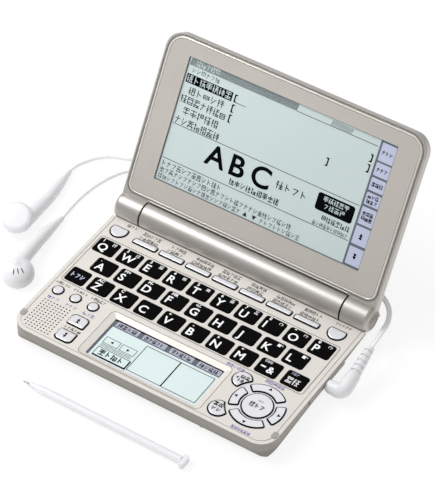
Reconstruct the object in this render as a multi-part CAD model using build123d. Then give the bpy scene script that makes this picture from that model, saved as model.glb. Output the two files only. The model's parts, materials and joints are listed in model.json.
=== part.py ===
from build123d import *
from math import cos, sin, tan, radians, sqrt
import os

# Pocket electronic dictionary: keyboard base, hinged lid, stylus and earphones.
# Millimetres, +Z up. X runs along the keyboard, Y from the user to the hinge.
# The origin is the centre of the base's underside.

# ---- base case ----
CASE_WIDTH = 148.0
CASE_DEPTH = 104.0
DECK_TOP = 9.4              # top of the keyboard deck
DECK_THICK = 1.2
WALL = 1.4
FLOOR = 1.2
PARTING = 4.2               # height of the joint between the two case halves
FRONT_CORNER = 9.5
REAR_CORNER = 3.0
BOTTOM_ROUND = 4.0
UNDERCUT_START = 2.94       # height of the side's lower edge at the middle of the front third
UNDERCUT_RISE = 0.072       # how fast that edge climbs towards the hinge
UNDERCUT_SLOPE = 1.1        # height lost per millimetre inwards, below that edge
UNDERCUT_Y = -37.0
EDGE_GROOVE = 1.9           # groove that frames the deck: distance from the edge
GROOVE_WIDTH = 0.35
GROOVE_DEPTH = 0.25

# ---- hinge and lid ----
AXIS_FROM_REAR = 8.94
AXIS_Z = 12.09
BARREL_R = 7.0
BARREL_WALL = 1.2
LUG_LENGTH = 14.9
LUG_GAP = 0.2               # between a lug and the end of the barrel
LUG_ROUND = 2.0
SWING_GAP = 0.3             # round the lugs, in the base
LID_CUT_GAP = 0.35          # between the lid's lower edge and the barrel
LEDGE_TOP = 9.0             # top of the rear wall behind the barrel
SHAFT_R = 2.0
SHAFT_IN_LUG = 7.0
SHAFT_HEAD = 1.0
RUNNING_GAP = 0.05
SEAT_GAP = 0.02
LID_REST = 120.67           # opening angle at rest, from closed
LID_FACE = 1.89             # front of the lid above the plane through the axis
LID_THICK = 7.4
LID_OVERHANG = 0.04         # closed lid past the front edge of the base
LID_CORNER = 9.5
LID_BACK_ROUND = 3.0
LID_SKIN = 1.2
RIM = 2.7                   # rim of the back cover, seen round the front frame
RIM_LOW = 2.3               # the same at the lower edge
RIM_DROP = 0.25             # rim stands this far below the front frame
FRAME_THICK = 1.5
FRAME_GAP = 0.2
FRAME_BOTTOM = 9.5          # lower edge of the front frame, from the axis
FRAME_LOW_CORNER = 4.0
FRAME_LEDGE = 1.2           # shelf of the back cover that carries the front frame
BEAD_GROOVE = 1.0           # groove in the rim: distance from the frame
BEAD_GROOVE_WIDTH = 0.4
BEAD_GROOVE_DEPTH = 0.5

# ---- screens ----
SCREEN_SIDE = 14.6          # from the lid's side edge to the window
SCREEN_ABOVE = 9.65         # from the window to the lid's top edge
SCREEN_LOW = 20.05          # lower edge of the screen window, from the axis
SCREEN_RECESS = 0.9
SCREEN_GLASS = 0.8
SCREEN_LAP = 1.0            # glass behind the edge of its window
SCREEN_MODULE = 3.5
SCREEN_MODULE_LAP = 3.0
SUB_SIDES = (41.7, 43.7)    # from the case's left and right edges to the window
SUB_DEPTH = 26.1
SUB_FROM_FRONT = 4.8
SUB_BEVEL = (3.7, 3.0, 1.9, 3.2)    # left, right, front and rear slope round the window
SUB_RECESS = 1.1
SUB_LIP = 0.3
SUB_GLASS = 0.9
SUB_LAP = 1.0
SUB_SKIRT = 1.0

# ---- keys ----
KEY_RISE = 0.5              # cap above the deck
KEY_GAP = 0.25              # round a cap, in the deck
KEY_FLANGE = 0.7
KEY_FLANGE_THICK = 0.8
KEY_UNDER_GAP = 0.1         # flange below the deck plate
KEY_TRAVEL = 0.8
KEY_EDGE = 0.3
LETTER_ROUND = 1.3
KEYS_LEFT = 4.65            # from the case's left edge to the first key of the rear row
KEYS_RIGHT = 6.28           # from its last key to the case's right edge
KEY_SPACE = (2.23, 2.4)     # between two keys of a row, and between two rows
ROWS_FROM_AXIS = 27.56      # from the hinge axis to the middle of the rear row
ROWS_FROM_FRONT = 43.5      # from the case's front edge to the middle of the front row
ROW_STAGGER = (0, 0.5025, 0.9476)   # start of each row, in key pitches
SHIFT_LEFT = 4.85
DELETE_STEP = 0.61          # delete key stands this much further right
ROWS = ("qwertyuiop", "asdfghjkl", "zxcvbnm")
BAR_DEPTH = 3.2
BAR_ROUND = 0.8
BAR_COUNT = 7
BAR_SPACE = 2.14
BARS_FROM_POWER = 9.7       # from the power key's middle to the first bar
BARS_FROM_BACKLIGHT = 9.46
BARS_FROM_AXIS = 15.86
WEB_THICK = 0.5             # web that joins the keys of one moulding
WEB_WIDTH = 2.0
CORNER_KEY_R = 4.65         # power and backlight keys: a disc with its rear cut flat
CORNER_KEY_CUT = 2.2
CORNER_KEY_ROUND = 0.8
CORNER_KEYS_FROM_AXIS = 14.46
POWER_LEFT = 9.3            # from the case's left edge
BACKLIGHT_RIGHT = 11.5      # from the case's right edge
ROUND_KEY_R = 2.75
ROUND_KEYS_LEFT = 7.5
ROUND_KEYS_PITCH = 10.4
ROUND_KEYS_COUNT = 3
ROUND_KEYS_FROM_FRONT = 30.5
PAGE_LEFT = 27.95
PAGE_UP_FROM_FRONT = 18.6
PAGE_DOWN_FROM_FRONT = 7.5
PAGE_WIDTH = 9.5
PAGE_DEPTH = 6.85
PAGE_ROUND = 2.5
PAGE_SQUARE = 0.8
PAD_RIGHT = 18.5            # from the pad's middle to the case's right edge
PAD_FROM_FRONT = 20.3
PAD_RIM_R = 14.4
ARC_OUTER = 13.6
ARC_INNER = 9.1
ARC_ROUND = 0.7
ARC_SPREAD_TALL = 46.0      # half angle of the up and down arcs
ARC_SPREAD_WIDE = 28.0      # half angle of the left and right arcs
ARC_RING_LAP = 0.5
ENTER_R = 7.6
NEAR_PAD_R = 15.5           # round the pad, where the two keys beside it are cut away
VOICE_FROM_PAD = (-14.9, 10.1)
BACK_FROM_PAD = (-14.7, -11.2)
BESIDE_KEY_R = 4.85
BESIDE_KEY_ROUND = 0.6

# ---- inside the base ----
BOARD_THICK = 1.0
BOARD_GAP = 0.4
BOARD_FROM_AXIS = 10.06
MAT_THICK = 0.6
DOME_R = 2.0
DOME_GAP = 0.1              # left under a key at the end of its travel
POST_R = 1.5
POSTS_REAR = (12.0, 29.06)  # from the side edges and from the axis
POST_MIDDLE = 27.06         # from the axis
POSTS_INNER = (30.0, -12.0)
POST_LEFT = (10.0, 16.0)    # from the left edge and from the front edge
POST_RIGHT = (12.0, 12.0)
SCREW_R = 0.8
SCREW_HEAD_R = 1.5
SCREW_HEAD = 0.9
SCREW_SINK = 0.4
BOSS_R = 1.6
BOSS_FOOT_R = 2.3
SCREWS_REAR = (22.0, 11.76) # from the side edges and from the axis
SCREW_LEFT = (21.0, 25.1)   # from the left edge and from the front edge
SCREW_RIGHT = (37.4, 3.1)
SPEAKER_LEFT = 12.76
SPEAKER_FROM_FRONT = 13.15
SPEAKER_HOLE_R = 0.42
SPEAKER_PITCH = 1.84
SPEAKER_COLUMNS = 9
SPEAKER_ROWS = 11
SPEAKER_R = 8.4
SPEAKER_THICK = 2.4
CELL_R = 5.25
CELL_LENGTH = 43.3
CELL_NUB = 1.2
CELL_NUB_R = 1.9
CELL_Z = 6.8
CELL_GAP = 0.25
CONTACT = 0.4
CONTACT_SIZE = 8.0
BULKHEAD = 1.2
BARREL_FLANGE_GAP = 0.2     # between the board and the flange that holds the barrel
BARREL_END = 3.0
COVER_FROM_AXIS = 6.86
COVER_TOP = 6.0
COVER_GAP = 0.2
FOOT_R = 4.0
FOOT_SINK = 0.6
FOOT_PROUD = 0.6
FEET_IN = (14.0, 12.0, 10.0)        # from the side, front and rear edges
BUMPER_IN = (1.9, 9.5)      # from the side and front edges
BUMPER_SIZE = (2.6, 3.8)
BUMPER_SINK = 0.7

# ---- jack, earphones and stylus ----
PORT_REACH = (15.5, 16.0)   # block on the right side that holds the jack: before and behind it
PORT_PROUD = 0.4
PORT_Z = (3.0, 8.6)
PORT_CHAMFER = 2.8
PORT_DEPTH = 10.0
JACK_FROM_KEY = 0.5         # between the jack and the flange of the last row's keys
JACK_Z = 5.7
JACK_HOLE_R = 2.6
JACK_BODY = (10.2, 6.0)     # length and width
PIN_R = 1.75
PIN_GAP = 0.1
PIN_LENGTH = 12.4
PLUG_R = 3.3
PLUG_REACH = 7.6            # from the case's side to the centre of the plug's elbow
PLUG_GAP = 0.2
PLUG_COLLAR = (3.0, 1.0)    # radius and length
PLUG_ARM = (0.2, 17.0, 4.6)         # from the elbow to the start of the strain relief
PLUG_RELIEF = (0.1, 9.8, 1.6)       # from there to its end
RELIEF_R = (2.5, 1.9)
ELBOW_SWELL = 0.1
RELIEF_STEP = 0.25          # bead between the plug's arm and its strain relief
CORD_D = 2.7
BRANCH_D = 1.7
COIL_XY = (-15.0, 98.0)
COIL_R = 15.5               # middle of the turns
COIL_TURNS = (4, 2)         # turns side by side, and layers
COIL_STUB = 13.5            # from the middle of the coil to the splitter, along X
SPLITTER_SIZE = (14.0, 5.4, 3.0)
STYLUS_Y = -73.4
STYLUS_X = (-50.1, 43.0)
STYLUS_R = 2.15
STYLUS_NIB_R = 0.6
STYLUS_NIB = 4.0
STYLUS_CONE = 8.0
STYLUS_HEAD = (2.6, 6.7, 3.4)
BUD_R = 7.6
BUD_THICK = 8.6
BUD_STEM_R = (4.3, 3.3, 1.5)
BUD_STEM_BEND = 0.66        # share of the stem before it narrows to the cord
BUD_STEM_BACK = 2.0         # stem's root behind the middle of the head
LEFT_BUD = ((-115.2, 11.2, 5.9), (0.25, -0.45, 0.86), (-115.9, 57.0, 1.1))
RIGHT_BUD = ((-93.3, -18.7, 5.1), (-0.2, 0.25, -0.95), (-99.2, 27.0, 1.1))

# ---- worked out from the sizes above ----
HALF_WIDTH = CASE_WIDTH / 2
FRONT_Y = -CASE_DEPTH / 2
REAR_Y = CASE_DEPTH / 2
DECK_UNDER = DECK_TOP - DECK_THICK
AXIS_Y = REAR_Y - AXIS_FROM_REAR
BARREL_HALF = HALF_WIDTH - LUG_LENGTH - LUG_GAP
KEY_TOP = DECK_TOP + KEY_RISE
FLANGE_TOP = DECK_UNDER - KEY_UNDER_GAP
KEY_BOTTOM = FLANGE_TOP - KEY_FLANGE_THICK
DOME_TOP = KEY_BOTTOM - KEY_TRAVEL - DOME_GAP
MAT_BOTTOM = PARTING
MAT_TOP = MAT_BOTTOM + MAT_THICK
BOARD_BOTTOM = PARTING - BOARD_THICK
TABLE = -FOOT_PROUD
LID_TOP = AXIS_Y - FRONT_Y + LID_OVERHANG
LID_BACK = LID_FACE - LID_THICK
FRAME_HALF = HALF_WIDTH - RIM
FRAME_TOP = LID_TOP - RIM + 0.8
FRAME_UNDER = LID_FACE - FRAME_THICK
FRAME_CORNER = LID_CORNER - RIM + 1.2
SCREEN_TOP = LID_FACE - SCREEN_RECESS
SCREEN_WIDTH = CASE_WIDTH - 2 * SCREEN_SIDE
SCREEN_HEIGHT = LID_TOP - SCREEN_ABOVE - SCREEN_LOW
SUB_TOP = DECK_TOP - SUB_RECESS
SUB_WIDTH = CASE_WIDTH - sum(SUB_SIDES)
SUB_X = (SUB_SIDES[0] - SUB_SIDES[1]) / 2
SUB_Y = FRONT_Y + SUB_FROM_FRONT + SUB_DEPTH / 2
ROW_Y = AXIS_Y - ROWS_FROM_AXIS
ROW_PITCH = (ROW_Y - FRONT_Y - ROWS_FROM_FRONT) / (len(ROWS) - 1)
LETTER_DEPTH = ROW_PITCH - KEY_SPACE[1]
LAST_ROW_Y = ROW_Y - ROW_PITCH * (len(ROWS) - 1)
JACK_Y = LAST_ROW_Y + LETTER_DEPTH / 2 + KEY_FLANGE + JACK_FROM_KEY + JACK_BODY[1] / 2
PORT_Y = (JACK_Y - PORT_REACH[0], JACK_Y + PORT_REACH[1])
LETTER_PITCH = (CASE_WIDTH - KEYS_LEFT - KEYS_RIGHT + KEY_SPACE[0]) / len(ROWS[0])
LETTER_WIDTH = LETTER_PITCH - KEY_SPACE[0]
ROW_STARTS = [KEYS_LEFT + LETTER_WIDTH / 2 - HALF_WIDTH + LETTER_PITCH * step for step in ROW_STAGGER]
SHIFT_WIDTH = ROW_STARTS[2] - LETTER_WIDTH / 2 - KEY_SPACE[0] + HALF_WIDTH - SHIFT_LEFT
SHIFT_X = SHIFT_LEFT + SHIFT_WIDTH / 2 - HALF_WIDTH
DASH_X = ROW_STARTS[2] + LETTER_PITCH * len(ROWS[2])
DELETE_X = DASH_X + LETTER_PITCH + DELETE_STEP
POWER_X = POWER_LEFT - HALF_WIDTH
BACKLIGHT_X = HALF_WIDTH - BACKLIGHT_RIGHT
CORNER_KEY_Y = AXIS_Y - CORNER_KEYS_FROM_AXIS
BARS_LEFT = POWER_X + BARS_FROM_POWER
BAR_PITCH = (BACKLIGHT_X - BARS_FROM_BACKLIGHT - BARS_LEFT + BAR_SPACE) / BAR_COUNT
BAR_WIDTH = BAR_PITCH - BAR_SPACE
BAR_X = BARS_LEFT + BAR_WIDTH / 2
BAR_Y = AXIS_Y - BARS_FROM_AXIS
ROUND_KEYS_X = [ROUND_KEYS_LEFT - HALF_WIDTH + ROUND_KEYS_PITCH * i for i in range(ROUND_KEYS_COUNT)]
ROUND_KEYS_Y = FRONT_Y + ROUND_KEYS_FROM_FRONT
PAGE_X = PAGE_LEFT - HALF_WIDTH
PAGE_UP_Y = FRONT_Y + PAGE_UP_FROM_FRONT
PAGE_DOWN_Y = FRONT_Y + PAGE_DOWN_FROM_FRONT
PAD_X = HALF_WIDTH - PAD_RIGHT
PAD_Y = FRONT_Y + PAD_FROM_FRONT
VOICE_XY = (PAD_X + VOICE_FROM_PAD[0], PAD_Y + VOICE_FROM_PAD[1])
BACK_XY = (PAD_X + BACK_FROM_PAD[0], PAD_Y + BACK_FROM_PAD[1])
SPEAKER_X = SPEAKER_LEFT - HALF_WIDTH
SPEAKER_Y = FRONT_Y + SPEAKER_FROM_FRONT
BOARD_REAR = AXIS_Y - BOARD_FROM_AXIS
BARREL_FLANGE_Y = BOARD_REAR + BARREL_FLANGE_GAP
COVER_FRONT = AXIS_Y - COVER_FROM_AXIS
POSTS_XY = [
    (POSTS_REAR[0] - HALF_WIDTH, AXIS_Y - POSTS_REAR[1]),
    (HALF_WIDTH - POSTS_REAR[0], AXIS_Y - POSTS_REAR[1]),
    (0, AXIS_Y - POST_MIDDLE),
    (-POSTS_INNER[0], POSTS_INNER[1]),
    POSTS_INNER,
    (POST_LEFT[0] - HALF_WIDTH, FRONT_Y + POST_LEFT[1]),
    (HALF_WIDTH - POST_RIGHT[0], FRONT_Y + POST_RIGHT[1]),
]
SCREWS_XY = [
    (SCREWS_REAR[0] - HALF_WIDTH, AXIS_Y - SCREWS_REAR[1]),
    (HALF_WIDTH - SCREWS_REAR[0], AXIS_Y - SCREWS_REAR[1]),
    (SCREW_LEFT[0] - HALF_WIDTH, FRONT_Y + SCREW_LEFT[1]),
    (HALF_WIDTH - SCREW_RIGHT[0], FRONT_Y + SCREW_RIGHT[1]),
]
FEET_XY = [
    (side * (HALF_WIDTH - FEET_IN[0]), y)
    for side in (-1, 1)
    for y in (FRONT_Y + FEET_IN[1], REAR_Y - FEET_IN[2])
]
BUMPER_X = HALF_WIDTH - BUMPER_IN[0]
BUMPER_Y = FRONT_Y + BUMPER_IN[1]
PLUG_X = HALF_WIDTH + PLUG_REACH
PLUG_BEND = (PLUG_X + PLUG_ARM[0], JACK_Y + PLUG_ARM[1], JACK_Z + PLUG_ARM[2])
PLUG_TAIL = (PLUG_BEND[0] + PLUG_RELIEF[0], PLUG_BEND[1] + PLUG_RELIEF[1], PLUG_BEND[2] + PLUG_RELIEF[2])
BAY_HALF = CELL_LENGTH + CELL_NUB + 1.5 * CONTACT + 0.8
LEAN = LID_REST - 90
LID_PLANE = Plane(
    origin=(0, AXIS_Y, AXIS_Z),
    x_dir=(1, 0, 0),
    z_dir=(0, -cos(radians(LEAN)), sin(radians(LEAN))),
)
FAR = 400.0


def block(x0, x1, y0, y1, z0, z1):
    """Box between two opposite corners."""
    return Pos((x0 + x1) / 2, (y0 + y1) / 2, (z0 + z1) / 2) * Box(x1 - x0, y1 - y0, z1 - z0)


def plate(outline, z0, z1):
    """Sketch raised from one height to another."""
    return Pos(0, 0, z0) * extrude(outline, z1 - z0)


def disc(x, y, z0, z1, radius):
    """Upright cylinder."""
    return Pos(x, y, (z0 + z1) / 2) * Cylinder(radius, z1 - z0)


def rod_x(x0, x1, y, z, radius):
    """Cylinder along X."""
    return Pos((x0 + x1) / 2, y, z) * Rot(0, 90, 0) * Cylinder(radius, x1 - x0)


def panel(x0, x1, y0, y1, low_round, high_round):
    """Rectangle with one corner radius at its low edge and another at its high edge."""
    sheet = Pos((x0 + x1) / 2, (y0 + y1) / 2) * Rectangle(x1 - x0, y1 - y0)
    sheet = fillet(sheet.vertices().group_by(Axis.Y)[0], low_round)
    return fillet(sheet.vertices().group_by(Axis.Y)[-1], high_round)


def between(start, end, radius_0, radius_1):
    """Round bar, straight or tapered, from one point to another."""
    start, end = Vector(*start), Vector(*end)
    along = Plane(origin=start, z_dir=end - start)
    length = (end - start).length
    if abs(radius_0 - radius_1) < 0.001:
        return along * Pos(0, 0, length / 2) * Cylinder(radius_0, length)
    return along * Pos(0, 0, length / 2) * Cone(radius_0, radius_1, length)


# ---- case ----
def side_cut(side, inset):
    """Everything below the sloping underside of one side."""
    slope = Vector(side * UNDERCUT_SLOPE, UNDERCUT_RISE, -1).normalized()
    edge = Vector(side * HALF_WIDTH, UNDERCUT_Y, UNDERCUT_START) - slope * inset
    return Plane(origin=edge, x_dir=(0, 1, 0), z_dir=slope) * Pos(0, 0, FAR / 2) * Box(FAR, FAR, FAR)


def port_block(inset):
    """Block on the right side round the jack."""
    x0, x1 = HALF_WIDTH - PORT_DEPTH, HALF_WIDTH + PORT_PROUD - inset
    body = block(x0, x1, PORT_Y[0] + inset, PORT_Y[1] - inset, PORT_Z[0] + inset, PORT_Z[1] - inset)
    edge = body.edges().filter_by(Axis.Y).group_by(Axis.X)[-1].sort_by(Axis.Z)[0]
    height = PORT_Z[1] - PORT_Z[0] - 2 * inset
    return chamfer(edge, min(PORT_CHAMFER - inset / 2, 0.6 * height))


def case_body(inset, floor, top):
    """Form of the base moved inwards by inset, between two heights."""
    half = HALF_WIDTH - inset
    plan = panel(-half, half, FRONT_Y + inset, REAR_Y - inset,
                 FRONT_CORNER - inset, max(REAR_CORNER - inset, 0.5))
    side = panel(FRONT_Y + inset, REAR_Y - inset, floor, top + FAR,
                 BOTTOM_ROUND - inset, 1)
    profile = Plane.YZ * Pos(0, 0, -FAR / 2) * extrude(side, FAR)
    body = plate(plan, floor, top) & profile
    body = body - side_cut(1, inset) - side_cut(-1, inset)
    port = port_block(inset) & block(-FAR, FAR, -FAR, FAR, floor, top)
    return body + port


def outer_case():
    """Whole outside of the base, with its softened upper edge and the rear ledge."""
    body = case_body(0, 0, DECK_TOP)
    rear = block(-FAR, FAR, AXIS_Y, FAR, LEDGE_TOP, FAR)
    return body - rear


def inner_case():
    """Space inside the two case halves."""
    return case_body(WALL, FLOOR, DECK_UNDER)


def battery_hatch(gap):
    """Block that the battery cover fills in the case."""
    half = BAY_HALF + CONTACT + gap
    return block(-half, half, COVER_FRONT - gap, FAR, -FAR, COVER_TOP + gap)


# ---- key outlines: each function gives caps, or the same outlines grown all round ----
def at(x, y, sketch):
    return Pos(x, y) * sketch


def letter_cap(x, row, grow, width=LETTER_WIDTH):
    cap = RectangleRounded(width + 2 * grow, LETTER_DEPTH + 2 * grow, LETTER_ROUND + grow)
    return at(x, ROW_Y - ROW_PITCH * row, cap)


def letter_caps(grow=0):
    """Name and outline of each key of the letter field."""
    keys = {}
    for row, letters in enumerate(ROWS):
        for column, letter in enumerate(letters):
            x = ROW_STARTS[row] + LETTER_PITCH * column
            keys["key_" + letter] = letter_cap(x, row, grow)
    keys["key_shift"] = letter_cap(SHIFT_X, 2, grow, SHIFT_WIDTH)
    keys["key_dash"] = letter_cap(DASH_X, 2, grow)
    keys["key_delete"] = letter_cap(DELETE_X, 2, grow)
    return keys


def corner_cap(x, grow=0):
    """Disc with its rear cut flat."""
    far = CORNER_KEY_CUT + grow + CORNER_KEY_R
    cap = Circle(CORNER_KEY_R + grow) - at(0, far, Rectangle(FAR, 2 * CORNER_KEY_R))
    return at(x, CORNER_KEY_Y, fillet(cap.vertices(), CORNER_KEY_ROUND))


def page_cap(y, flip, grow):
    low, high = (PAGE_ROUND, PAGE_SQUARE) if flip else (PAGE_SQUARE, PAGE_ROUND)
    half, deep = PAGE_WIDTH / 2 + grow, PAGE_DEPTH / 2 + grow
    return panel(PAGE_X - half, PAGE_X + half, y - deep, y + deep, low, high)


def arc_cap(middle, spread, grow):
    """One arc of the pad, centred on an angle."""
    tips = [(0, 0)]
    for turn in (-spread, spread):
        angle = radians(middle + turn)
        tips.append((4 * ARC_OUTER * cos(angle), 4 * ARC_OUTER * sin(angle)))
    wedge = make_face(Polyline(*tips, close=True))
    arc = (Circle(ARC_OUTER) - Circle(ARC_INNER)) & wedge
    arc = fillet(arc.vertices(), ARC_ROUND)
    if grow:
        arc = offset(arc, amount=grow)
    return at(PAD_X, PAD_Y, arc)


def beside_cap(centre, grow):
    """Round key beside the pad, cut away round it."""
    near = at(PAD_X, PAD_Y, Circle(NEAR_PAD_R - grow))
    cap = at(*centre, Circle(BESIDE_KEY_R + grow)) - near
    return fillet(cap.vertices(), BESIDE_KEY_ROUND)


def bar_caps(grow=0):
    outline = RectangleRounded(BAR_WIDTH + 2 * grow, BAR_DEPTH + 2 * grow, BAR_ROUND + grow)
    return [at(BAR_X + BAR_PITCH * i, BAR_Y, outline) for i in range(BAR_COUNT)]


def side_caps(grow=0):
    rounds = [at(x, ROUND_KEYS_Y, Circle(ROUND_KEY_R + grow)) for x in ROUND_KEYS_X]
    return rounds + [page_cap(PAGE_UP_Y, False, grow), page_cap(PAGE_DOWN_Y, True, grow)]


def cursor_caps(grow=0):
    tall = [arc_cap(90, ARC_SPREAD_TALL, grow), arc_cap(270, ARC_SPREAD_TALL, grow)]
    return tall + [arc_cap(180, ARC_SPREAD_WIDE, grow), arc_cap(0, ARC_SPREAD_WIDE, grow)]


def beside_caps(grow=0):
    return [beside_cap(VOICE_XY, grow), beside_cap(BACK_XY, grow)]


def enter_cap(grow=0):
    return at(PAD_X, PAD_Y, Circle(ENTER_R + grow))


def all_caps(grow=0):
    """Every cap of the keyboard."""
    caps = list(letter_caps(grow).values())
    caps += [corner_cap(POWER_X, grow), corner_cap(BACKLIGHT_X, grow), enter_cap(grow)]
    return caps + bar_caps(grow) + side_caps(grow) + cursor_caps(grow) + beside_caps(grow)


# ---- key mouldings ----
def cap_solid(outline):
    """Cap from its underside to its softly bevelled top."""
    body = plate(outline, KEY_BOTTOM, KEY_TOP)
    return chamfer(body.faces().sort_by(Axis.Z)[-1].edges(), KEY_EDGE)


def key(cap, skirt):
    """One cap with the flange that keeps it under the deck."""
    return cap_solid(cap) + plate(skirt, KEY_BOTTOM, FLANGE_TOP)


def keys(caps):
    return [key(cap, skirt) for cap, skirt in zip(caps(), caps(KEY_FLANGE))]


def web(x0, y0, x1, y1):
    """Thin strip between two keys of one moulding."""
    half = WEB_WIDTH / 2
    low_x, high_x = min(x0, x1) - half, max(x0, x1) + half
    low_y, high_y = min(y0, y1) - half, max(y0, y1) + half
    return block(low_x, high_x, low_y, high_y, KEY_BOTTOM, KEY_BOTTOM + WEB_THICK)


def function_keys():
    runner = web(BAR_X, BAR_Y, BAR_X + BAR_PITCH * (BAR_COUNT - 1), BAR_Y)
    return runner.fuse(*keys(bar_caps))


def side_keys():
    last = ROUND_KEYS_X[-1]
    row = web(ROUND_KEYS_X[0], ROUND_KEYS_Y, last, ROUND_KEYS_Y)
    column = web(last, ROUND_KEYS_Y, last, PAGE_DOWN_Y)
    return row.fuse(column, *keys(side_caps))


def cursor_keys():
    """Four arcs on one ring, which lies under the pad's spokes."""
    ring = at(PAD_X, PAD_Y, Circle(ARC_OUTER + ARC_RING_LAP) - Circle(ARC_INNER - ARC_RING_LAP / 2))
    body = [cap_solid(cap) for cap in cursor_caps()]
    return plate(ring, KEY_BOTTOM, FLANGE_TOP).fuse(*body)


def voice_back_keys():
    x = VOICE_XY[0] - BESIDE_KEY_R / 2
    return web(x, VOICE_XY[1], x, BACK_XY[1]).fuse(*keys(beside_caps))


# ---- base: top case ----
def sub_window(z, left, right, front, rear, radius):
    """Outline round the sub-screen window, grown on each side, at one height."""
    return Pos(0, 0, z) * panel(
        SUB_X - SUB_WIDTH / 2 - left, SUB_X + SUB_WIDTH / 2 + right,
        SUB_Y - SUB_DEPTH / 2 - front, SUB_Y + SUB_DEPTH / 2 + rear, radius, radius)


def sub_block(grow, z0, z1):
    return extrude(sub_window(z0, grow, grow, grow, grow, 0.4), z1 - z0)


def sub_bevel():
    """Sloping funnel from the deck down to the sub-screen window."""
    slope = (DECK_TOP - SUB_TOP - SUB_LIP) * 0.05
    upper = sub_window(DECK_TOP + slope, *SUB_BEVEL, 1.5)
    lower = sub_window(SUB_TOP + SUB_LIP, 0, 0, 0, 0, 0.4)
    return loft([lower, upper])


def speaker_holes():
    """Grid of sound holes; the corner nearest the case's corner has none."""
    holes = []
    for column in range(SPEAKER_COLUMNS):
        for row in range(SPEAKER_ROWS):
            x = SPEAKER_X + SPEAKER_PITCH * (column - (SPEAKER_COLUMNS - 1) / 2)
            y = SPEAKER_Y + SPEAKER_PITCH * (row - (SPEAKER_ROWS - 1) / 2)
            if column + row > 0:
                holes.append(at(x, y, Circle(SPEAKER_HOLE_R)))
    return holes


def deck_groove():
    """Fine groove that runs round the deck beside its edge."""
    rings = []
    for inset in (EDGE_GROOVE, EDGE_GROOVE + GROOVE_WIDTH):
        half = HALF_WIDTH - inset
        rings.append(panel(-half, half, FRONT_Y + inset, REAR_Y, FRONT_CORNER - inset, 0.5))
    return plate(rings[0] - rings[1], DECK_TOP - GROOVE_DEPTH, FAR)


def lug_pockets():
    """Curved walls under the lid's lugs."""
    walls = []
    for side in (-1, 1):
        ends = sorted((side * (BARREL_HALF - BARREL_END), side * HALF_WIDTH))
        walls.append(rod_x(*ends, AXIS_Y, AXIS_Z, BARREL_R + SWING_GAP + 1))
    return Part() + walls


def screw_bosses():
    return [disc(x, y, PARTING, DECK_UNDER, BOSS_R) for x, y in SCREWS_XY]


def screw_bores(radius, z0, z1):
    return [disc(x, y, z0, z1, radius) for x, y in SCREWS_XY]


def bumpers():
    """Soft pads on the deck that the closed lid lands on."""
    wide, deep = BUMPER_SIZE
    outline = RectangleRounded(wide, deep, 0.8)
    z0 = DECK_TOP - BUMPER_SINK
    return [plate(at(side * BUMPER_X, BUMPER_Y, outline), z0, KEY_TOP) for side in (-1, 1)]


def jack_way(radius, x0, x1):
    return rod_x(x0, x1, JACK_Y, JACK_Z, radius)


def base_top_case():
    """Deck plate and upper walls, with an opening for every key."""
    outer = outer_case()
    skirt = sub_block(SUB_LAP + SUB_SKIRT, SUB_TOP - SUB_GLASS, DECK_UNDER)
    shell = outer - inner_case() + (lug_pockets() & outer)
    shell = shell.fuse(skirt, *screw_bosses())
    shell = shell & block(-FAR, FAR, -FAR, FAR, PARTING, FAR)
    top = [plate(opening, DECK_UNDER - 1, FAR) for opening in all_caps(KEY_GAP)]
    holes = [plate(hole, DECK_UNDER - 1, FAR) for hole in speaker_holes()]
    swing = rod_x(-FAR, FAR, AXIS_Y, AXIS_Z, BARREL_R + SWING_GAP)
    hollow = [
        swing,
        deck_groove(),
        sub_bevel(),
        sub_block(0, SUB_TOP - 0.1, DECK_TOP),
        sub_block(SUB_LAP + COVER_GAP / 2, -FAR, SUB_TOP),
        battery_hatch(COVER_GAP),
        jack_way(JACK_HOLE_R, HALF_WIDTH - PORT_DEPTH, FAR),
    ]
    return shell.cut(*hollow, *top, *holes, *bumpers(), *screw_bores(SCREW_R, 0, DECK_UNDER - 0.6))


# ---- base: barrel, bottom, inside ----
def cell_bay():
    """Space kept free for the two cells."""
    radius = CELL_R + CELL_GAP
    half = BAY_HALF
    tube = rod_x(-half, half, AXIS_Y, CELL_Z, radius)
    return tube + block(-half, half, AXIS_Y - radius, AXIS_Y + radius, -FAR, CELL_Z)


def hinge_barrel():
    """Fixed tube between the lugs, hung under the rear edge of the deck."""
    half = BARREL_HALF
    tube = rod_x(-half, half, AXIS_Y, AXIS_Z, BARREL_R)
    bore = rod_x(-half + BARREL_END, half - BARREL_END, AXIS_Y, AXIS_Z, BARREL_R - BARREL_WALL)
    tube = tube - bore
    for side in (-1, 1):
        ends = sorted((side * BAY_HALF, side * (BAY_HALF + BULKHEAD)))
        inner = BARREL_R - BARREL_WALL / 2
        tube += rod_x(*ends, AXIS_Y, AXIS_Z, inner)
        tube += block(*ends, AXIS_Y - CELL_R, AXIS_Y + CELL_R, PARTING + 0.1, AXIS_Z)
    belly = half - BARREL_END
    tube -= block(-BAY_HALF, BAY_HALF, -FAR, FAR, -FAR, DECK_UNDER - BARREL_WALL)
    flange_in = block(-belly, belly, BARREL_FLANGE_Y, AXIS_Y - BARREL_R + 2.2,
                      DECK_UNDER - BARREL_WALL, DECK_UNDER)
    clear = [disc(x, y, -FAR, FAR, BOSS_R + BOARD_GAP) for x, y in SCREWS_XY]
    tube = (tube + flange_in).cut(cell_bay(), *clear)
    return tube.cut(rod_x(-FAR, FAR, AXIS_Y, AXIS_Z, SHAFT_R + SEAT_GAP))


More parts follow.
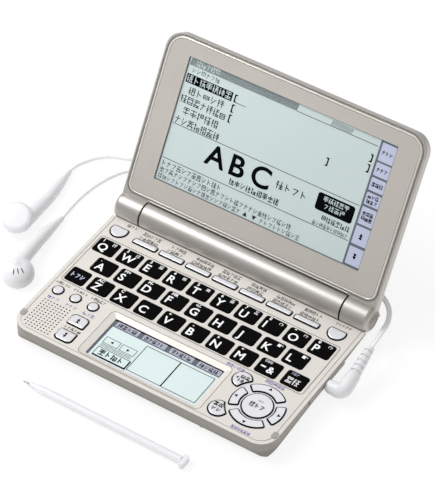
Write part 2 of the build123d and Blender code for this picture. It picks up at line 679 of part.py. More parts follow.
def base_bottom_case():
    """Tub with board posts, screw bosses and the opening of the battery cover."""
    tub = (outer_case() - inner_case()) & block(-FAR, FAR, -FAR, FAR, -FAR, PARTING)
    posts = [disc(x, y, FLOOR, BOARD_BOTTOM, POST_R) for x, y in POSTS_XY]
    feet = [disc(x, y, FLOOR, PARTING, BOSS_FOOT_R) for x, y in SCREWS_XY]
    tub = tub.fuse(*posts, *feet)
    swing = rod_x(-FAR, FAR, AXIS_Y, AXIS_Z, BARREL_R + SWING_GAP)
    pockets = [disc(x, y, -FAR, TABLE + FOOT_PROUD + FOOT_SINK, FOOT_R) for x, y in FEET_XY]
    head = screw_bores(SCREW_HEAD_R + SEAT_GAP, -FAR, SCREW_SINK + SCREW_HEAD)
    return tub.cut(swing, battery_hatch(COVER_GAP), jack_way(JACK_HOLE_R, HALF_WIDTH - PORT_DEPTH, FAR),
                   *pockets, *head, *screw_bores(SCREW_R + 0.1, 0, FAR))


def battery_cover():
    """Sliding cover: part of the floor and of the rear wall."""
    shell = outer_case() - inner_case()
    return shell & battery_hatch(0)


def battery_set():
    """Two cells end to end, and the contact plates at both ends."""
    pieces = []
    for start in (-CELL_LENGTH - CELL_NUB, 0.0):
        cell = rod_x(start, start + CELL_LENGTH, AXIS_Y, CELL_Z, CELL_R)
        cell = fillet(cell.edges().filter_by(GeomType.CIRCLE), 0.5)
        nub = rod_x(start + CELL_LENGTH, start + CELL_LENGTH + CELL_NUB, AXIS_Y, CELL_Z, CELL_NUB_R)
        pieces.append(cell + nub)
    half = CONTACT_SIZE / 2
    for x in (-BAY_HALF, BAY_HALF - CONTACT):
        pieces.append(block(x, x + CONTACT, AXIS_Y - half, AXIS_Y + half,
                            CELL_Z - half, CELL_Z + half))
    return Compound(children=pieces)


def jack_block():
    """Earphone jack at the board's edge."""
    length, width = JACK_BODY
    x1 = HALF_WIDTH - WALL - BOARD_GAP
    body = block(x1 - length, x1, JACK_Y - width / 2, JACK_Y + width / 2,
                 BOARD_BOTTOM, DECK_UNDER - KEY_UNDER_GAP)
    return body & case_body(WALL + BOARD_GAP / 2, FLOOR, DECK_UNDER)


def main_board():
    """Circuit board with the jack and the chips under it."""
    room = case_body(WALL + BOARD_GAP, FLOOR, DECK_UNDER)
    board = room & block(-FAR, FAR, -FAR, BOARD_REAR, BOARD_BOTTOM, PARTING)
    clear = [disc(x, y, 0, FAR, BOSS_FOOT_R + BOARD_GAP) for x, y in SCREWS_XY]
    board = board.cut(jack_block(), *clear)
    chips = [block(x, x + w, y, y + d, BOARD_BOTTOM - h, BOARD_BOTTOM) for x, y, w, d, h in (
        (-20, 2, 14, 14, 1.2), (4, 2, 18, 9, 1.0), (-46, 4, 9, 9, 1.2), (34, -4, 8, 12, 1.0))]
    pin_way = jack_way(PIN_R + PIN_GAP, -FAR, FAR)
    jack = jack_block() - pin_way
    return Compound(children=[board, jack] + chips)


def keypad_mat():
    """Silicone sheet with a dome under each key, drawn as far down as a press takes it."""
    room = case_body(WALL + 2 * BOARD_GAP, FLOOR, DECK_UNDER)
    sheet = room & block(-FAR, FAR, -FAR, BOARD_REAR - BOARD_GAP, MAT_BOTTOM, MAT_TOP)
    domes = []
    for cap in all_caps():
        centre = cap.center(CenterOf.BOUNDING_BOX)
        domes.append(disc(centre.X, centre.Y, MAT_BOTTOM, DOME_TOP, DOME_R))
    sheet = sheet.fuse(*domes)
    clear = [disc(x, y, 0, FAR, BOSS_FOOT_R + BOARD_GAP) for x, y in SCREWS_XY]
    jack = jack_block().bounding_box()
    around = block(jack.min.X - BOARD_GAP, FAR, jack.min.Y - BOARD_GAP, jack.max.Y + BOARD_GAP, 0, FAR)
    window = sub_block(SUB_LAP + BOARD_GAP, 0, FAR)
    return sheet.cut(window, around, *clear)


def sub_screen_window():
    return sub_block(SUB_LAP, SUB_TOP - SUB_GLASS, SUB_TOP)


def sub_screen_module():
    return sub_block(SUB_LAP, PARTING, SUB_TOP - SUB_GLASS)


def speaker_driver():
    """Flat loudspeaker glued under its holes."""
    z1 = DECK_UNDER
    body = disc(SPEAKER_X, SPEAKER_Y, z1 - SPEAKER_THICK, z1, SPEAKER_R)
    magnet = disc(SPEAKER_X, SPEAKER_Y, z1 - SPEAKER_THICK - 0.7, z1 - SPEAKER_THICK, SPEAKER_R / 2)
    cone = disc(SPEAKER_X, SPEAKER_Y, z1 - 0.6, FAR, SPEAKER_R - 1)
    return body + magnet - cone


def rubber_feet():
    z1 = TABLE + FOOT_PROUD + FOOT_SINK
    feet = [disc(x, y, TABLE, z1, FOOT_R) for x, y in FEET_XY]
    feet = [chamfer(foot.edges().sort_by(Axis.Z)[0], 0.25) for foot in feet]
    return Compound(children=feet + bumpers())


def case_screws():
    screws = []
    for x, y in SCREWS_XY:
        head = disc(x, y, SCREW_SINK, SCREW_SINK + SCREW_HEAD, SCREW_HEAD_R)
        slot = block(x - 1, x + 1, y - 0.2, y + 0.2, -FAR, SCREW_SINK + 0.4)
        cross = block(x - 0.2, x + 0.2, y - 1, y + 1, -FAR, SCREW_SINK + 0.4)
        shank = disc(x, y, SCREW_SINK + SCREW_HEAD, DECK_UNDER - 1, SCREW_R - SEAT_GAP)
        screws.append(head + shank - slot - cross)
    return Compound(children=screws)


def hinge_shafts():
    shafts = []
    for side in (-1, 1):
        inner = BARREL_HALF - BARREL_END
        outer = BARREL_HALF + LUG_GAP + SHAFT_IN_LUG
        pin = rod_x(*sorted((side * inner, side * outer)), AXIS_Y, AXIS_Z, SHAFT_R)
        head_ends = sorted((side * inner, side * (inner - SHAFT_HEAD)))
        shafts.append(pin + rod_x(*head_ends, AXIS_Y, AXIS_Z, SHAFT_R + 1))
    return Compound(children=shafts)


# ---- lid, drawn flat: X along the hinge, Y up the lid, Z out of its front ----
def frame_outline(grow):
    half = FRAME_HALF + grow
    return panel(-half, half, FRAME_BOTTOM - grow, FRAME_TOP + grow,
                 FRAME_LOW_CORNER + grow, FRAME_CORNER + grow)


def screen_outline(lap):
    low, high = SCREEN_LOW - lap, SCREEN_LOW + SCREEN_HEIGHT + lap
    half = SCREEN_WIDTH / 2 + lap
    return panel(-half, half, low, high, 0.5, 0.5)


def lug(side):
    """Round lug at one end of the hinge."""
    inner = HALF_WIDTH - LUG_LENGTH
    body = rod_x(*sorted((side * inner, side * HALF_WIDTH)), 0, 0, BARREL_R)
    rim = body.edges().filter_by(GeomType.CIRCLE).sort_by(Axis.X)[-1 if side > 0 else 0]
    return fillet(rim, LUG_ROUND)


def lid_back_cover():
    """Shell of the lid with its rim, its frame shelf and the two lugs."""
    front = LID_FACE - RIM_DROP
    plan = panel(-HALF_WIDTH, HALF_WIDTH, 0, LID_TOP, 0.5, LID_CORNER)
    shell = plate(plan, LID_BACK, front)
    back = shell.faces().sort_by(Axis.Z)[0]
    shell = fillet(back.edges().sort_by(Axis.Y)[1:], LID_BACK_ROUND)
    edge = shell.faces().sort_by(Axis.Z)[-1]
    shell = chamfer(edge.edges().sort_by(Axis.Y)[1:], 0.4)
    middle = HALF_WIDTH - LUG_LENGTH
    gap_way = rod_x(-middle, middle, 0, 0, BARREL_R + LID_CUT_GAP)
    below = block(-middle, middle, -FAR, 1.0, -FAR, FAR)
    groove = plate(frame_outline(FRAME_GAP + BEAD_GROOVE + BEAD_GROOVE_WIDTH)
                   - frame_outline(FRAME_GAP + BEAD_GROOVE), front - BEAD_GROOVE_DEPTH, FAR)
    seat = plate(frame_outline(FRAME_GAP), FRAME_UNDER, FAR)
    cavity = plate(frame_outline(-FRAME_LEDGE), LID_BACK + LID_SKIN, FAR)
    shell = shell.cut(gap_way, below, groove, seat, cavity)
    shell = shell.fuse(lug(-1), lug(1))
    reach = middle + SHAFT_IN_LUG + 0.3
    bores = [rod_x(*sorted((side * (middle - 1), side * reach)), 0, 0, SHAFT_R + RUNNING_GAP)
             for side in (-1, 1)]
    return LID_PLANE * shell.cut(*bores)


def lid_front_frame():
    """Frame round the main screen, with a rabbet for its glass."""
    frame = plate(frame_outline(0), FRAME_UNDER, LID_FACE)
    frame = chamfer(frame.faces().sort_by(Axis.Z)[-1].edges(), 0.25)
    window = plate(screen_outline(0), -FAR, FAR)
    rabbet = plate(screen_outline(SCREEN_LAP), -FAR, SCREEN_TOP)
    return LID_PLANE * (frame - window - rabbet)


def main_screen_window():
    return LID_PLANE * plate(screen_outline(SCREEN_LAP - SEAT_GAP), SCREEN_TOP - SCREEN_GLASS, SCREEN_TOP)


def main_screen_module():
    """Display with its holder, behind the glass."""
    z1 = SCREEN_TOP - SCREEN_GLASS
    return LID_PLANE * plate(screen_outline(SCREEN_MODULE_LAP), z1 - SCREEN_MODULE, z1)


# ---- stylus and earphones ----
def stylus():
    """Pen lying in front of the base: nib, cone, barrel and flat head."""
    z = TABLE + STYLUS_R
    tip, end = STYLUS_X
    long, wide, thick = STYLUS_HEAD
    nib = between((tip, STYLUS_Y, z), (tip + STYLUS_NIB, STYLUS_Y, z), STYLUS_NIB_R * 0.6, STYLUS_NIB_R)
    shoulder = tip + STYLUS_NIB
    cone = between((shoulder, STYLUS_Y, z), (shoulder + STYLUS_CONE, STYLUS_Y, z),
                   STYLUS_R * 0.6, STYLUS_R)
    barrel = rod_x(shoulder + STYLUS_CONE, end - long, STYLUS_Y, z, STYLUS_R)
    head = Pos(end - long / 2, STYLUS_Y, z) * Box(long, wide, thick)
    head = fillet(head.edges().filter_by(Axis.Z), long * 0.3)
    return nib.fuse(cone, barrel, head)


def earphone_plug():
    """Right-angled plug in the jack, its tail tilted up by the cord."""
    port = HALF_WIDTH + PORT_PROUD
    collar_r, collar = PLUG_COLLAR
    start = port + PLUG_GAP
    elbow = (PLUG_X, JACK_Y, JACK_Z)
    pin = rod_x(start - PIN_LENGTH, start, JACK_Y, JACK_Z, PIN_R)
    pin = chamfer(pin.edges().filter_by(GeomType.CIRCLE).sort_by(Axis.X)[0], 0.7)
    ring = rod_x(start, start + collar, JACK_Y, JACK_Z, collar_r)
    barrel = rod_x(start + collar, PLUG_X, JACK_Y, JACK_Z, PLUG_R)
    ball = Pos(*elbow) * Sphere(PLUG_R + ELBOW_SWELL)
    arm = between(elbow, PLUG_BEND, PLUG_R, RELIEF_R[0])
    knee = Pos(*PLUG_BEND) * Sphere(RELIEF_R[0] + RELIEF_STEP)
    sleeve = between(PLUG_BEND, PLUG_TAIL, *RELIEF_R)
    return (arm + knee + sleeve) + (barrel + ball) + ring + pin


def earbud(centre, facing, tail):
    """Round head and tapered stem."""
    facing = Vector(*facing).normalized()
    head_plane = Plane(origin=centre, z_dir=facing)
    half = BUD_THICK / 2
    head = Cylinder(BUD_R, BUD_THICK * 0.45)
    head += Pos(0, 0, -half * 0.72) * Cone(BUD_R * 0.6, BUD_R, half * 0.55)
    head += Pos(0, 0, half * 0.58) * Cone(BUD_R, BUD_R * 0.8, half * 0.28)
    root = Vector(*centre) - facing * BUD_STEM_BACK
    bend = root + (Vector(*tail) - root) * BUD_STEM_BEND
    root_r, bend_r, tail_r = BUD_STEM_R
    stem = between(root, bend, root_r, bend_r) + between(bend, tail, bend_r, tail_r)
    return head_plane * head + stem


def splitter():
    """Moulding where the twin cord parts."""
    long, wide, thick = SPLITTER_SIZE
    x0 = COIL_XY[0] + COIL_STUB
    body = block(x0, x0 + long, splitter_y() - wide / 2, splitter_y() + wide / 2, TABLE, TABLE + thick)
    return fillet(body.edges().filter_by(Axis.Z), 1.2)


def splitter_y():
    """The outer turn leaves the coil at its rear, along X."""
    return COIL_XY[1] + COIL_R + (COIL_TURNS[0] - 1) / 2 * CORD_D


def earphone_mouldings():
    return Compound(children=[splitter(), earbud(*LEFT_BUD), earbud(*RIGHT_BUD)])


def route(name, points, diameter):
    """Tube along straight runs, each corner rounded as far as its runs allow."""
    points = [Vector(*point) for point in points]
    radii = []
    for before, here, after in zip(points, points[1:], points[2:]):
        run_in, run_out = here - before, after - here
        turn = radians(run_in.get_angle(run_out))
        radii.append(0.45 * min(run_in.length, run_out.length) / tan(turn / 2))
    print(name, "tightest bends:", [round(radius, 1) for radius in sorted(radii)[:4]])
    path = FilletPolyline(*points, radius=radii)
    section = Plane(origin=path @ 0, z_dir=path % 0) * Circle(diameter / 2)
    tube = sweep(section, path=path)
    area = 3.14159265 * diameter ** 2 / 4
    print(name, "length", round(path.length, 1), "volume ratio", round(tube.volume / area / path.length, 4))
    return tube


def main_route():
    """From the plug down to the table and round behind the lid to the coil."""
    z = TABLE + CORD_D / 2
    y = COIL_XY[1] - COIL_R - (COIL_TURNS[0] - 1) / 2 * CORD_D
    return [
        PLUG_TAIL, (81.95, 31.6, 12.6), (80.9, 37.4, 10.9), (79.7, 43.4, 8.7), (78.3, 49.4, 6.5),
        (76.0, 55.4, 4.4), (72.9, 61.3, 2.6), (68.6, 66.4, 1.3), (62.6, 70.3, z), (54.0, 73.4, z),
        (42.0, 75.9, z), (29.0, 77.6, z), (15.0, y - 0.3, z), (2.0, y, z), (COIL_XY[0] + 3, y, z),
    ]


def left_route():
    z = TABLE + BRANCH_D / 2
    x0, y0 = splitter_end()
    return [
        (x0, y0 - 1.3, z), (x0 + 4.6, y0 - 1.4, z), (x0 + 9.8, y0 - 0.3, z), (28.0, 120.8, z),
        (31.6, 127.0, z), (29.5, 133.8, z), (22.5, 138.0, z), (12.0, 139.9, z), (-2.0, 140.2, z),
        (-18.0, 138.5, z), (-34.0, 133.5, z), (-48.0, 125.5, z), (-59.0, 115.0, z),
        (-67.5, 104.0, z), (-75.5, 94.2, z), (-84.5, 86.8, z), (-94.4, 82.2, z),
        (-104.0, 79.0, z), (-110.4, 73.6, z), (-114.0, 67.4, z), (-115.9, 61.9, 0.76), LEFT_BUD[2],
    ]


def right_route():
    z = TABLE + BRANCH_D / 2
    x0, y0 = splitter_end()
    return [
        (x0, y0 + 1.3, z), (x0 + 3.6, y0 + 1.2, z), (20.6, 120.3, z), (24.8, 123.8, z),
        (25.6, 129.2, z), (21.6, 134.0, z), (14.0, 135.6, z), (3.0, 136.1, z), (-10.0, 135.0, z),
        (-25.0, 131.4, z), (-39.0, 125.2, z), (-51.0, 116.2, z), (-60.5, 105.0, z),
        (-67.5, 94.0, z), (-75.0, 85.5, z), (-84.0, 80.0, z), (-91.8, 74.2, z), (-96.2, 66.0, z),
        (-99.0, 56.5, z), (-100.4, 46.5, z), (-100.4, 38.0, z), (-99.83, 31.6, 0.51), RIGHT_BUD[2],
    ]


def splitter_end():
    box = splitter().bounding_box()
    return box.max.X, splitter_y()


def cord_coil():
    """Outer form of the wound cord, with the short stub that runs to the splitter."""
    wide = COIL_TURNS[0] * CORD_D / 2
    tall = COIL_TURNS[1] * CORD_D
    ring = plate(at(*COIL_XY, Circle(COIL_R + wide) - Circle(COIL_R - wide)), TABLE, TABLE + tall)
    ring = fillet(ring.edges(), CORD_D * 0.4)
    box = splitter().bounding_box()
    top = TABLE + tall - CORD_D / 2
    stub = between((COIL_XY[0] + 2, splitter_y(), top),
                   (box.min.X, splitter_y(), TABLE + SPLITTER_SIZE[2] / 2), CORD_D / 2, CORD_D / 2)
    stub = stub & block(-FAR, box.min.X, -FAR, FAR, TABLE, FAR)
    return ring + stub


# ---- write every node ----
def nodes():
    parts = {
        "base_top_case": base_top_case(),
        "hinge_barrel": hinge_barrel(),
        "base_bottom_case": base_bottom_case(),
        "battery_cover": battery_cover(),
        "battery_set": battery_set(),
        "main_board": main_board(),
        "keypad_mat": keypad_mat(),
        "sub_screen_window": sub_screen_window(),
        "sub_screen_module": sub_screen_module(),
        "speaker_driver": speaker_driver(),
        "rubber_feet": rubber_feet(),
        "case_screws": case_screws(),
        "hinge_shafts": hinge_shafts(),
        "lid_back_cover": lid_back_cover(),
        "lid_front_frame": lid_front_frame(),
        "main_screen_window": main_screen_window(),
        "main_screen_module": main_screen_module(),
        "power_key": key(corner_cap(POWER_X), corner_cap(POWER_X, KEY_FLANGE)),
        "backlight_key": key(corner_cap(BACKLIGHT_X), corner_cap(BACKLIGHT_X, KEY_FLANGE)),
        "enter_key": key(enter_cap(), enter_cap(KEY_FLANGE)),
        "cursor_keys": cursor_keys(),
        "function_keys": function_keys(),
        "side_keys": side_keys(),
        "voice_back_keys": voice_back_keys(),
        "stylus": stylus(),
        "earphone_plug": earphone_plug(),
        "earphone_mouldings": earphone_mouldings(),
        "cord_main": route("cord_main", main_route(), CORD_D),
        "cord_coil": cord_coil(),
        "cord_left": route("cord_left", left_route(), BRANCH_D),
        "cord_right": route("cord_right", right_route(), BRANCH_D),
    }
    skirts = letter_caps(KEY_FLANGE)
    for name, cap in letter_caps().items():
        parts[name] = key(cap, skirts[name])
    return parts


def as_solids(shape):
    """The bare solid of a node, or a group of its separate solids."""
    solids = shape.solids()
    return solids[0] if len(solids) == 1 else Compound(children=solids)


os.makedirs("parts", exist_ok=True)
for name, shape in nodes().items():
    export_step(as_solids(shape), "parts/" + name + ".step")
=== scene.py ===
import json
import math
import random

import bmesh
import bpy
from mathutils import Matrix, Vector
from mathutils.bvhtree import BVHTree


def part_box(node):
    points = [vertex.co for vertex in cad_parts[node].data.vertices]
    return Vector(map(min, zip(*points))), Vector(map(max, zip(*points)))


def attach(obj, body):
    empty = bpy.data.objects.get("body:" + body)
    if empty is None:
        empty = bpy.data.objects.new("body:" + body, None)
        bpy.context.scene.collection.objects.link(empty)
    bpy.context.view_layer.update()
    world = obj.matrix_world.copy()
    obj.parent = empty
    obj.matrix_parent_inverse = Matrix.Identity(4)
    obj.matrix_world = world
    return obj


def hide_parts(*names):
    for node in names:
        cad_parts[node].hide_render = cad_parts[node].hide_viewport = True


# Looks of a pocket electronic dictionary: lid with a screen, keyboard base, stylus and earphones.
# Lengths are millimetres in the part's frame, and mm() turns them into Blender's metres. Only the
# camera, the lamps, the size of the floor and the lengths of the cords are given in metres.

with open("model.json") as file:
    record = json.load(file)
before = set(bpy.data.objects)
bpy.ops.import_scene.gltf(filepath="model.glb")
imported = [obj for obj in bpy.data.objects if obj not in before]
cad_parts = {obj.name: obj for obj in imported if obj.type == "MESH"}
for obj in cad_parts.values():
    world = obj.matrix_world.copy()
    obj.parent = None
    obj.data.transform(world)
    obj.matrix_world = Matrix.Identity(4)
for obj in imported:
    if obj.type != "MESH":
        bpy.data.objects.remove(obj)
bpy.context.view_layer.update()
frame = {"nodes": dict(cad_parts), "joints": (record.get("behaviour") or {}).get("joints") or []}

MILLI = 0.001
DEG = math.pi / 180
X_AXIS = Vector((1, 0, 0))
UP = Vector((0, 0, 1))


def mm(x, y, z):
    return Vector((x, y, z)) * MILLI


def box_mm(node):
    """Lowest and highest corner of a CAD node, in millimetres."""
    low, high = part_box(node)
    return low / MILLI, high / MILLI


def linked(name, data):
    """New object in the scene."""
    thing = bpy.data.objects.new(name, data)
    bpy.context.scene.collection.objects.link(thing)
    return thing


def mesh_of(name, shape):
    """Mesh made from a finished bmesh."""
    mesh = bpy.data.meshes.new(name)
    shape.to_mesh(mesh)
    shape.free()
    return mesh


# ---- faces that carry print, read from the frame ----
hinge = next(joint for joint in frame["joints"] if joint["name"] == "lid_hinge")
LEAN = (hinge["range_deg"][1] - 90) * DEG
AXIS = Vector(hinge["pos_m"]) / MILLI
LID_UP = Vector((0, math.sin(LEAN), math.cos(LEAN)))
LID_OUT = Vector((0, -math.cos(LEAN), math.sin(LEAN)))
DECK = box_mm("base_top_case")[1].z
KEY_TOP = box_mm("key_q")[1].z
SUB_GLASS = box_mm("sub_screen_window")[1].z
TABLE = box_mm("rubber_feet")[0].z
INK = 0.03                  # height of print above the face it is on


def lid_point(x, u, out):
    """Point of the lid: x along the hinge, u up from the axis, out of its front."""
    return (Vector((x, AXIS.y, AXIS.z)) + LID_UP * u + LID_OUT * out) * MILLI


def lid_front(node):
    """How far a CAD node of the lid stands out of the plane through the hinge axis."""
    corners = [v.co / MILLI - AXIS for v in frame["nodes"][node].data.vertices]
    return max(corner.dot(LID_OUT) for corner in corners)


GLASS_OUT = lid_front("main_screen_window")


# ---- camera ----
CAMERA_AT = Vector((0.50484, -0.75323, 0.97760))
CAMERA_LOOKS = Vector((-0.384137, 0.587605, -0.712151))
LENS = 226.68
SENSOR = 36.0


def make_camera():
    data = bpy.data.cameras.new("camera")
    data.sensor_fit = "HORIZONTAL"
    data.sensor_width = SENSOR
    data.lens = LENS
    data.clip_start, data.clip_end = 0.05, 20
    camera = linked("camera", data)
    camera.location = CAMERA_AT
    camera.rotation_euler = CAMERA_LOOKS.to_track_quat("-Z", "Y").to_euler()
    bpy.context.scene.camera = camera


# ---- nodes ----
class Nodes:
    """The nodes of a material or a world."""

    def __init__(self, owner, empty=False):
        owner.use_nodes = True
        self.nodes, self.links = owner.node_tree.nodes, owner.node_tree.links
        if empty:
            self.nodes.clear()

    def add(self, kind, inputs=(), **settings):
        """Adds a node, feeds its inputs with plain values or other outputs, and gives its outputs."""
        node = self.nodes.new("ShaderNode" + kind)
        for name, value in settings.items():
            setattr(node, name, value)
        for socket, value in dict(inputs).items():
            if isinstance(value, bpy.types.NodeSocket):
                self.links.new(value, node.inputs[socket])
            else:
                node.inputs[socket].default_value = value
        return node.outputs

    def spread(self, value, low, high, start=0.3, end=0.7):
        """Value between start and end mapped to low and high."""
        facts = {"Value": value, "From Min": start, "From Max": end, "To Min": low, "To Max": high}
        return self.add("MapRange", facts)[0]

    def larger(self, first, second):
        return self.add("Math", {0: first, 1: second}, operation="MAXIMUM")[0]

    def rays(self):
        """The light path, and 1 for rays from the camera or through glass."""
        path = self.add("LightPath")
        return path, self.larger(path["Is Camera Ray"], path["Is Transmission Ray"])


# ---- light and stage ----
WORLD_GREY = (0.8, 0.8, 0.8, 1)
WORLD_LEVEL = 0.88          # what diffuse surfaces receive from all round
WORLD_SHEEN = (0.42, 0.9)   # what glossy surfaces see low down and overhead
SHEEN_RISE = 0.9            # steepness at which a direction counts as overhead
KEY_LAMP = {"at": (-0.95, -0.13, 1.20), "aim": (0, 0, 0.03), "watts": 13.5}
KEY_SIDE = 0.7
LID_SPOT = {"at": (-0.5, -1.0, 0.5), "aim": (-0.058, 0.084, 0.088), "watts": 23.0}
SPOT_ANGLE = 13.0
SPOT_SIZE = 0.12
FLOOR_SIZE = 6.0
FLOOR_WHITE = (0.96, 0.96, 0.96, 1)
FLOOR_SHADOW = 0.15         # share of the object's shadow that the camera sees


def make_lamp(name, kind, at, aim, watts):
    data = bpy.data.lights.new(name, kind)
    data.energy = watts
    lamp = linked(name, data)
    lamp.location = at
    lamp.rotation_euler = (Vector(aim) - Vector(at)).to_track_quat("-Z", "Y").to_euler()
    return lamp


def make_lamps():
    """Large soft lamp, and a soft spot on the lid that draws no streak along the hinge barrel."""
    key = make_lamp("key_lamp", "AREA", **KEY_LAMP)
    key.data.size = KEY_SIDE
    spot = make_lamp("lid_spot", "SPOT", **LID_SPOT)
    spot.data.spot_size = SPOT_ANGLE * DEG
    spot.data.spot_blend = 1.0
    spot.data.shadow_soft_size = SPOT_SIZE
    spot.visible_glossy = False


def make_world():
    """Plain even light on the object, greyer low down in its gloss; pale to the camera."""
    world = bpy.data.worlds.new("studio")
    bpy.context.scene.world = world
    made = Nodes(world, empty=True)
    rays, direct = made.rays()
    height = made.add("SeparateXYZ", {0: made.add("TexCoord")["Generated"]})["Z"]
    rise = made.spread(height, *WORLD_SHEEN, 0, SHEEN_RISE)
    plain = made.add("Background", {"Color": WORLD_GREY, "Strength": WORLD_LEVEL})[0]
    sheen = made.add("Background", {"Color": WORLD_GREY, "Strength": rise})[0]
    pale = made.add("Background", {"Color": WORLD_GREY})[0]
    light = made.add("MixShader", {0: rays["Is Glossy Ray"], 1: plain, 2: sheen})[0]
    seen = made.add("MixShader", {0: direct, 1: light, 2: pale})[0]
    made.add("OutputWorld", {"Surface": seen})


def make_floor():
    """White floor that keeps a light shadow of the object."""
    half = FLOOR_SIZE / 2
    mesh = bpy.data.meshes.new("floor")
    corners = [(-half, -half), (half, -half), (half, half), (-half, half)]
    mesh.from_pydata([(x, y, TABLE * MILLI) for x, y in corners], [], [(0, 1, 2, 3)])
    floor = linked("floor", mesh)
    paper = bpy.data.materials.new("paper")
    mesh.materials.append(paper)
    made = Nodes(paper, empty=True)
    rays, direct = made.rays()
    seen = made.larger(direct, rays["Is Glossy Ray"])
    share = made.add("Math", {0: seen, 1: 1 - FLOOR_SHADOW}, operation="MULTIPLY")[0]
    lit = made.add("BsdfDiffuse", {"Color": FLOOR_WHITE})[0]
    white = made.add("Emission")[0]
    mixed = made.add("MixShader", {0: share, 1: lit, 2: white})[0]
    made.add("OutputMaterial", {"Surface": mixed})


# ---- materials ----
CLOUD = 18                  # size of the faint clouds in a plastic's colour
CASE_CLOUD = 22
CASE_GRAIN = 0.22


class Paint(Nodes):
    """A Principled material that is built up step by step."""

    def __init__(self, roughness, metallic=0.0, specular=0.5):
        self.material = bpy.data.materials.new("paint")
        super().__init__(self.material)
        self.shader = self.nodes["Principled BSDF"].inputs
        self.shader["Roughness"].default_value = roughness
        self.shader["Metallic"].default_value = metallic
        self.shader["Specular IOR Level"].default_value = specular
        self.where = self.add("TexCoord")

    def feed(self, socket, source):
        self.links.new(source, self.shader[socket])

    def noise(self, size, detail=2.0, stretch=(1, 1, 1)):
        """Noise whose features are about size millimetres."""
        place = self.add("Mapping", {"Vector": self.where["Object"], "Scale": stretch})[0]
        return self.add("TexNoise", {"Vector": place, "Scale": 1 / (size * MILLI), "Detail": detail})[0]

    def mix(self, mask, first, second):
        """Colour that goes from the first to the second as the mask goes from 0 to 1."""
        ends = [(*end, 1) if isinstance(end, tuple) else end for end in (first, second)]
        return self.add("Mix", {0: mask, 6: ends[0], 7: ends[1]}, data_type="RGBA")[2]

    def clouded(self, size, first, second):
        return self.mix(self.spread(self.noise(size), 0, 1), first, second)

    def facing_up(self, start, end):
        """1 on faces that look up in the part's own frame, 0 on its walls."""
        height = self.add("SeparateXYZ", {0: self.where["Normal"]})["Z"]
        return self.spread(height, 0, 1, start, end)

    def bump(self, source, height):
        """Bump of so many millimetres."""
        self.feed("Normal", self.add("Bump", {"Distance": height * MILLI, "Height": source})[0])

    def finished(self, colour, grain, roughness, change, height):
        """The material in a colour, with its grain in gloss and bump."""
        self.feed("Base Color", colour)
        self.feed("Roughness", self.spread(grain, roughness * (1 - change), roughness * (1 + change)))
        self.bump(grain, height)
        return self.material


def shade(colour, factor):
    return tuple(channel * factor for channel in colour)


def moulded(colour, roughness, grain=0.25, depth=0.004, change=0.05, **facts):
    """Moulded or painted plastic: faint cloudy colour, fine grain in its bump and gloss."""
    paint = Paint(roughness, **facts)
    fine = paint.noise(grain, 3)
    base = paint.clouded(CLOUD, shade(colour, 1 - change), colour)
    speck = paint.mix(paint.spread(fine, 0, 0.35), base, shade(colour, 1 - 2.2 * change))
    return paint.finished(speck, fine, roughness, 0.12, depth)


def printed(colour, roughness=0.5, change=0.02, **facts):
    """Ink or paint in a thin even layer."""
    return moulded(colour, roughness, 0.2, 0.001, change, **facts)


def two_tone(top, wall, roughness, metallic, turn=(0.35, 0.75)):
    """Painted shell whose walls have another colour than its upper face: on the case and the lid the
    difference is painted shade, on the silver keys it is their black walls.
    """
    paint = Paint(roughness, metallic)
    fine = paint.noise(CASE_GRAIN, 3)
    face = paint.clouded(CASE_CLOUD, shade(top, 0.96), top)
    both = paint.mix(paint.facing_up(*turn), wall, face)
    dark = paint.mix(paint.spread(fine, 0, 0.10), both, shade(wall, 0.7))
    return paint.finished(dark, fine, roughness, 0.1, 0.003)


def brushed(colour, roughness):
    """Metal drawn along X."""
    paint = Paint(roughness, metallic=0.92)
    lines = paint.noise(0.3, 3, (0.02, 1, 1))
    drawn = paint.mix(paint.spread(lines, 0, 1), shade(colour, 0.95), colour)
    return paint.finished(drawn, lines, roughness, 0.02, 0.0001)


NIB = 3.9                   # length of the stylus's grey tip
NIB_FADE = 0.3


def stylus_paint():
    """White plastic with a grey nib at the left end."""
    paint = Paint(0.3)
    x = paint.add("SeparateXYZ", {0: paint.where["Object"]})["X"]
    nib = box_mm("stylus")[0].x + NIB
    body = paint.spread(x, 0, 1, (nib - NIB_FADE) * MILLI, (nib + NIB_FADE) * MILLI)
    white = paint.clouded(6, (0.77, 0.77, 0.80), (0.79, 0.79, 0.82))
    paint.feed("Base Color", paint.mix(body, (0.42, 0.41, 0.40), white))
    paint.feed("Roughness", paint.spread(paint.noise(6), 0.26, 0.34))
    return paint.material


def grille_paint():
    """White face with fine sound holes, half a millimetre apart, each a darker spot of painted shade with a
    bump.
    """
    paint = Paint(0.4)
    facts = {"Vector": paint.where["Object"], "Scale": 1 / (0.5 * MILLI), "Randomness": 0.0}
    spot = paint.spread(paint.add("TexVoronoi", facts)["Distance"], 0, 1, 0.12, 0.3)
    paint.feed("Base Color", paint.mix(spot, (0.72, 0.72, 0.76), (0.84, 0.84, 0.88)))
    paint.bump(spot, 0.01)
    return paint.material


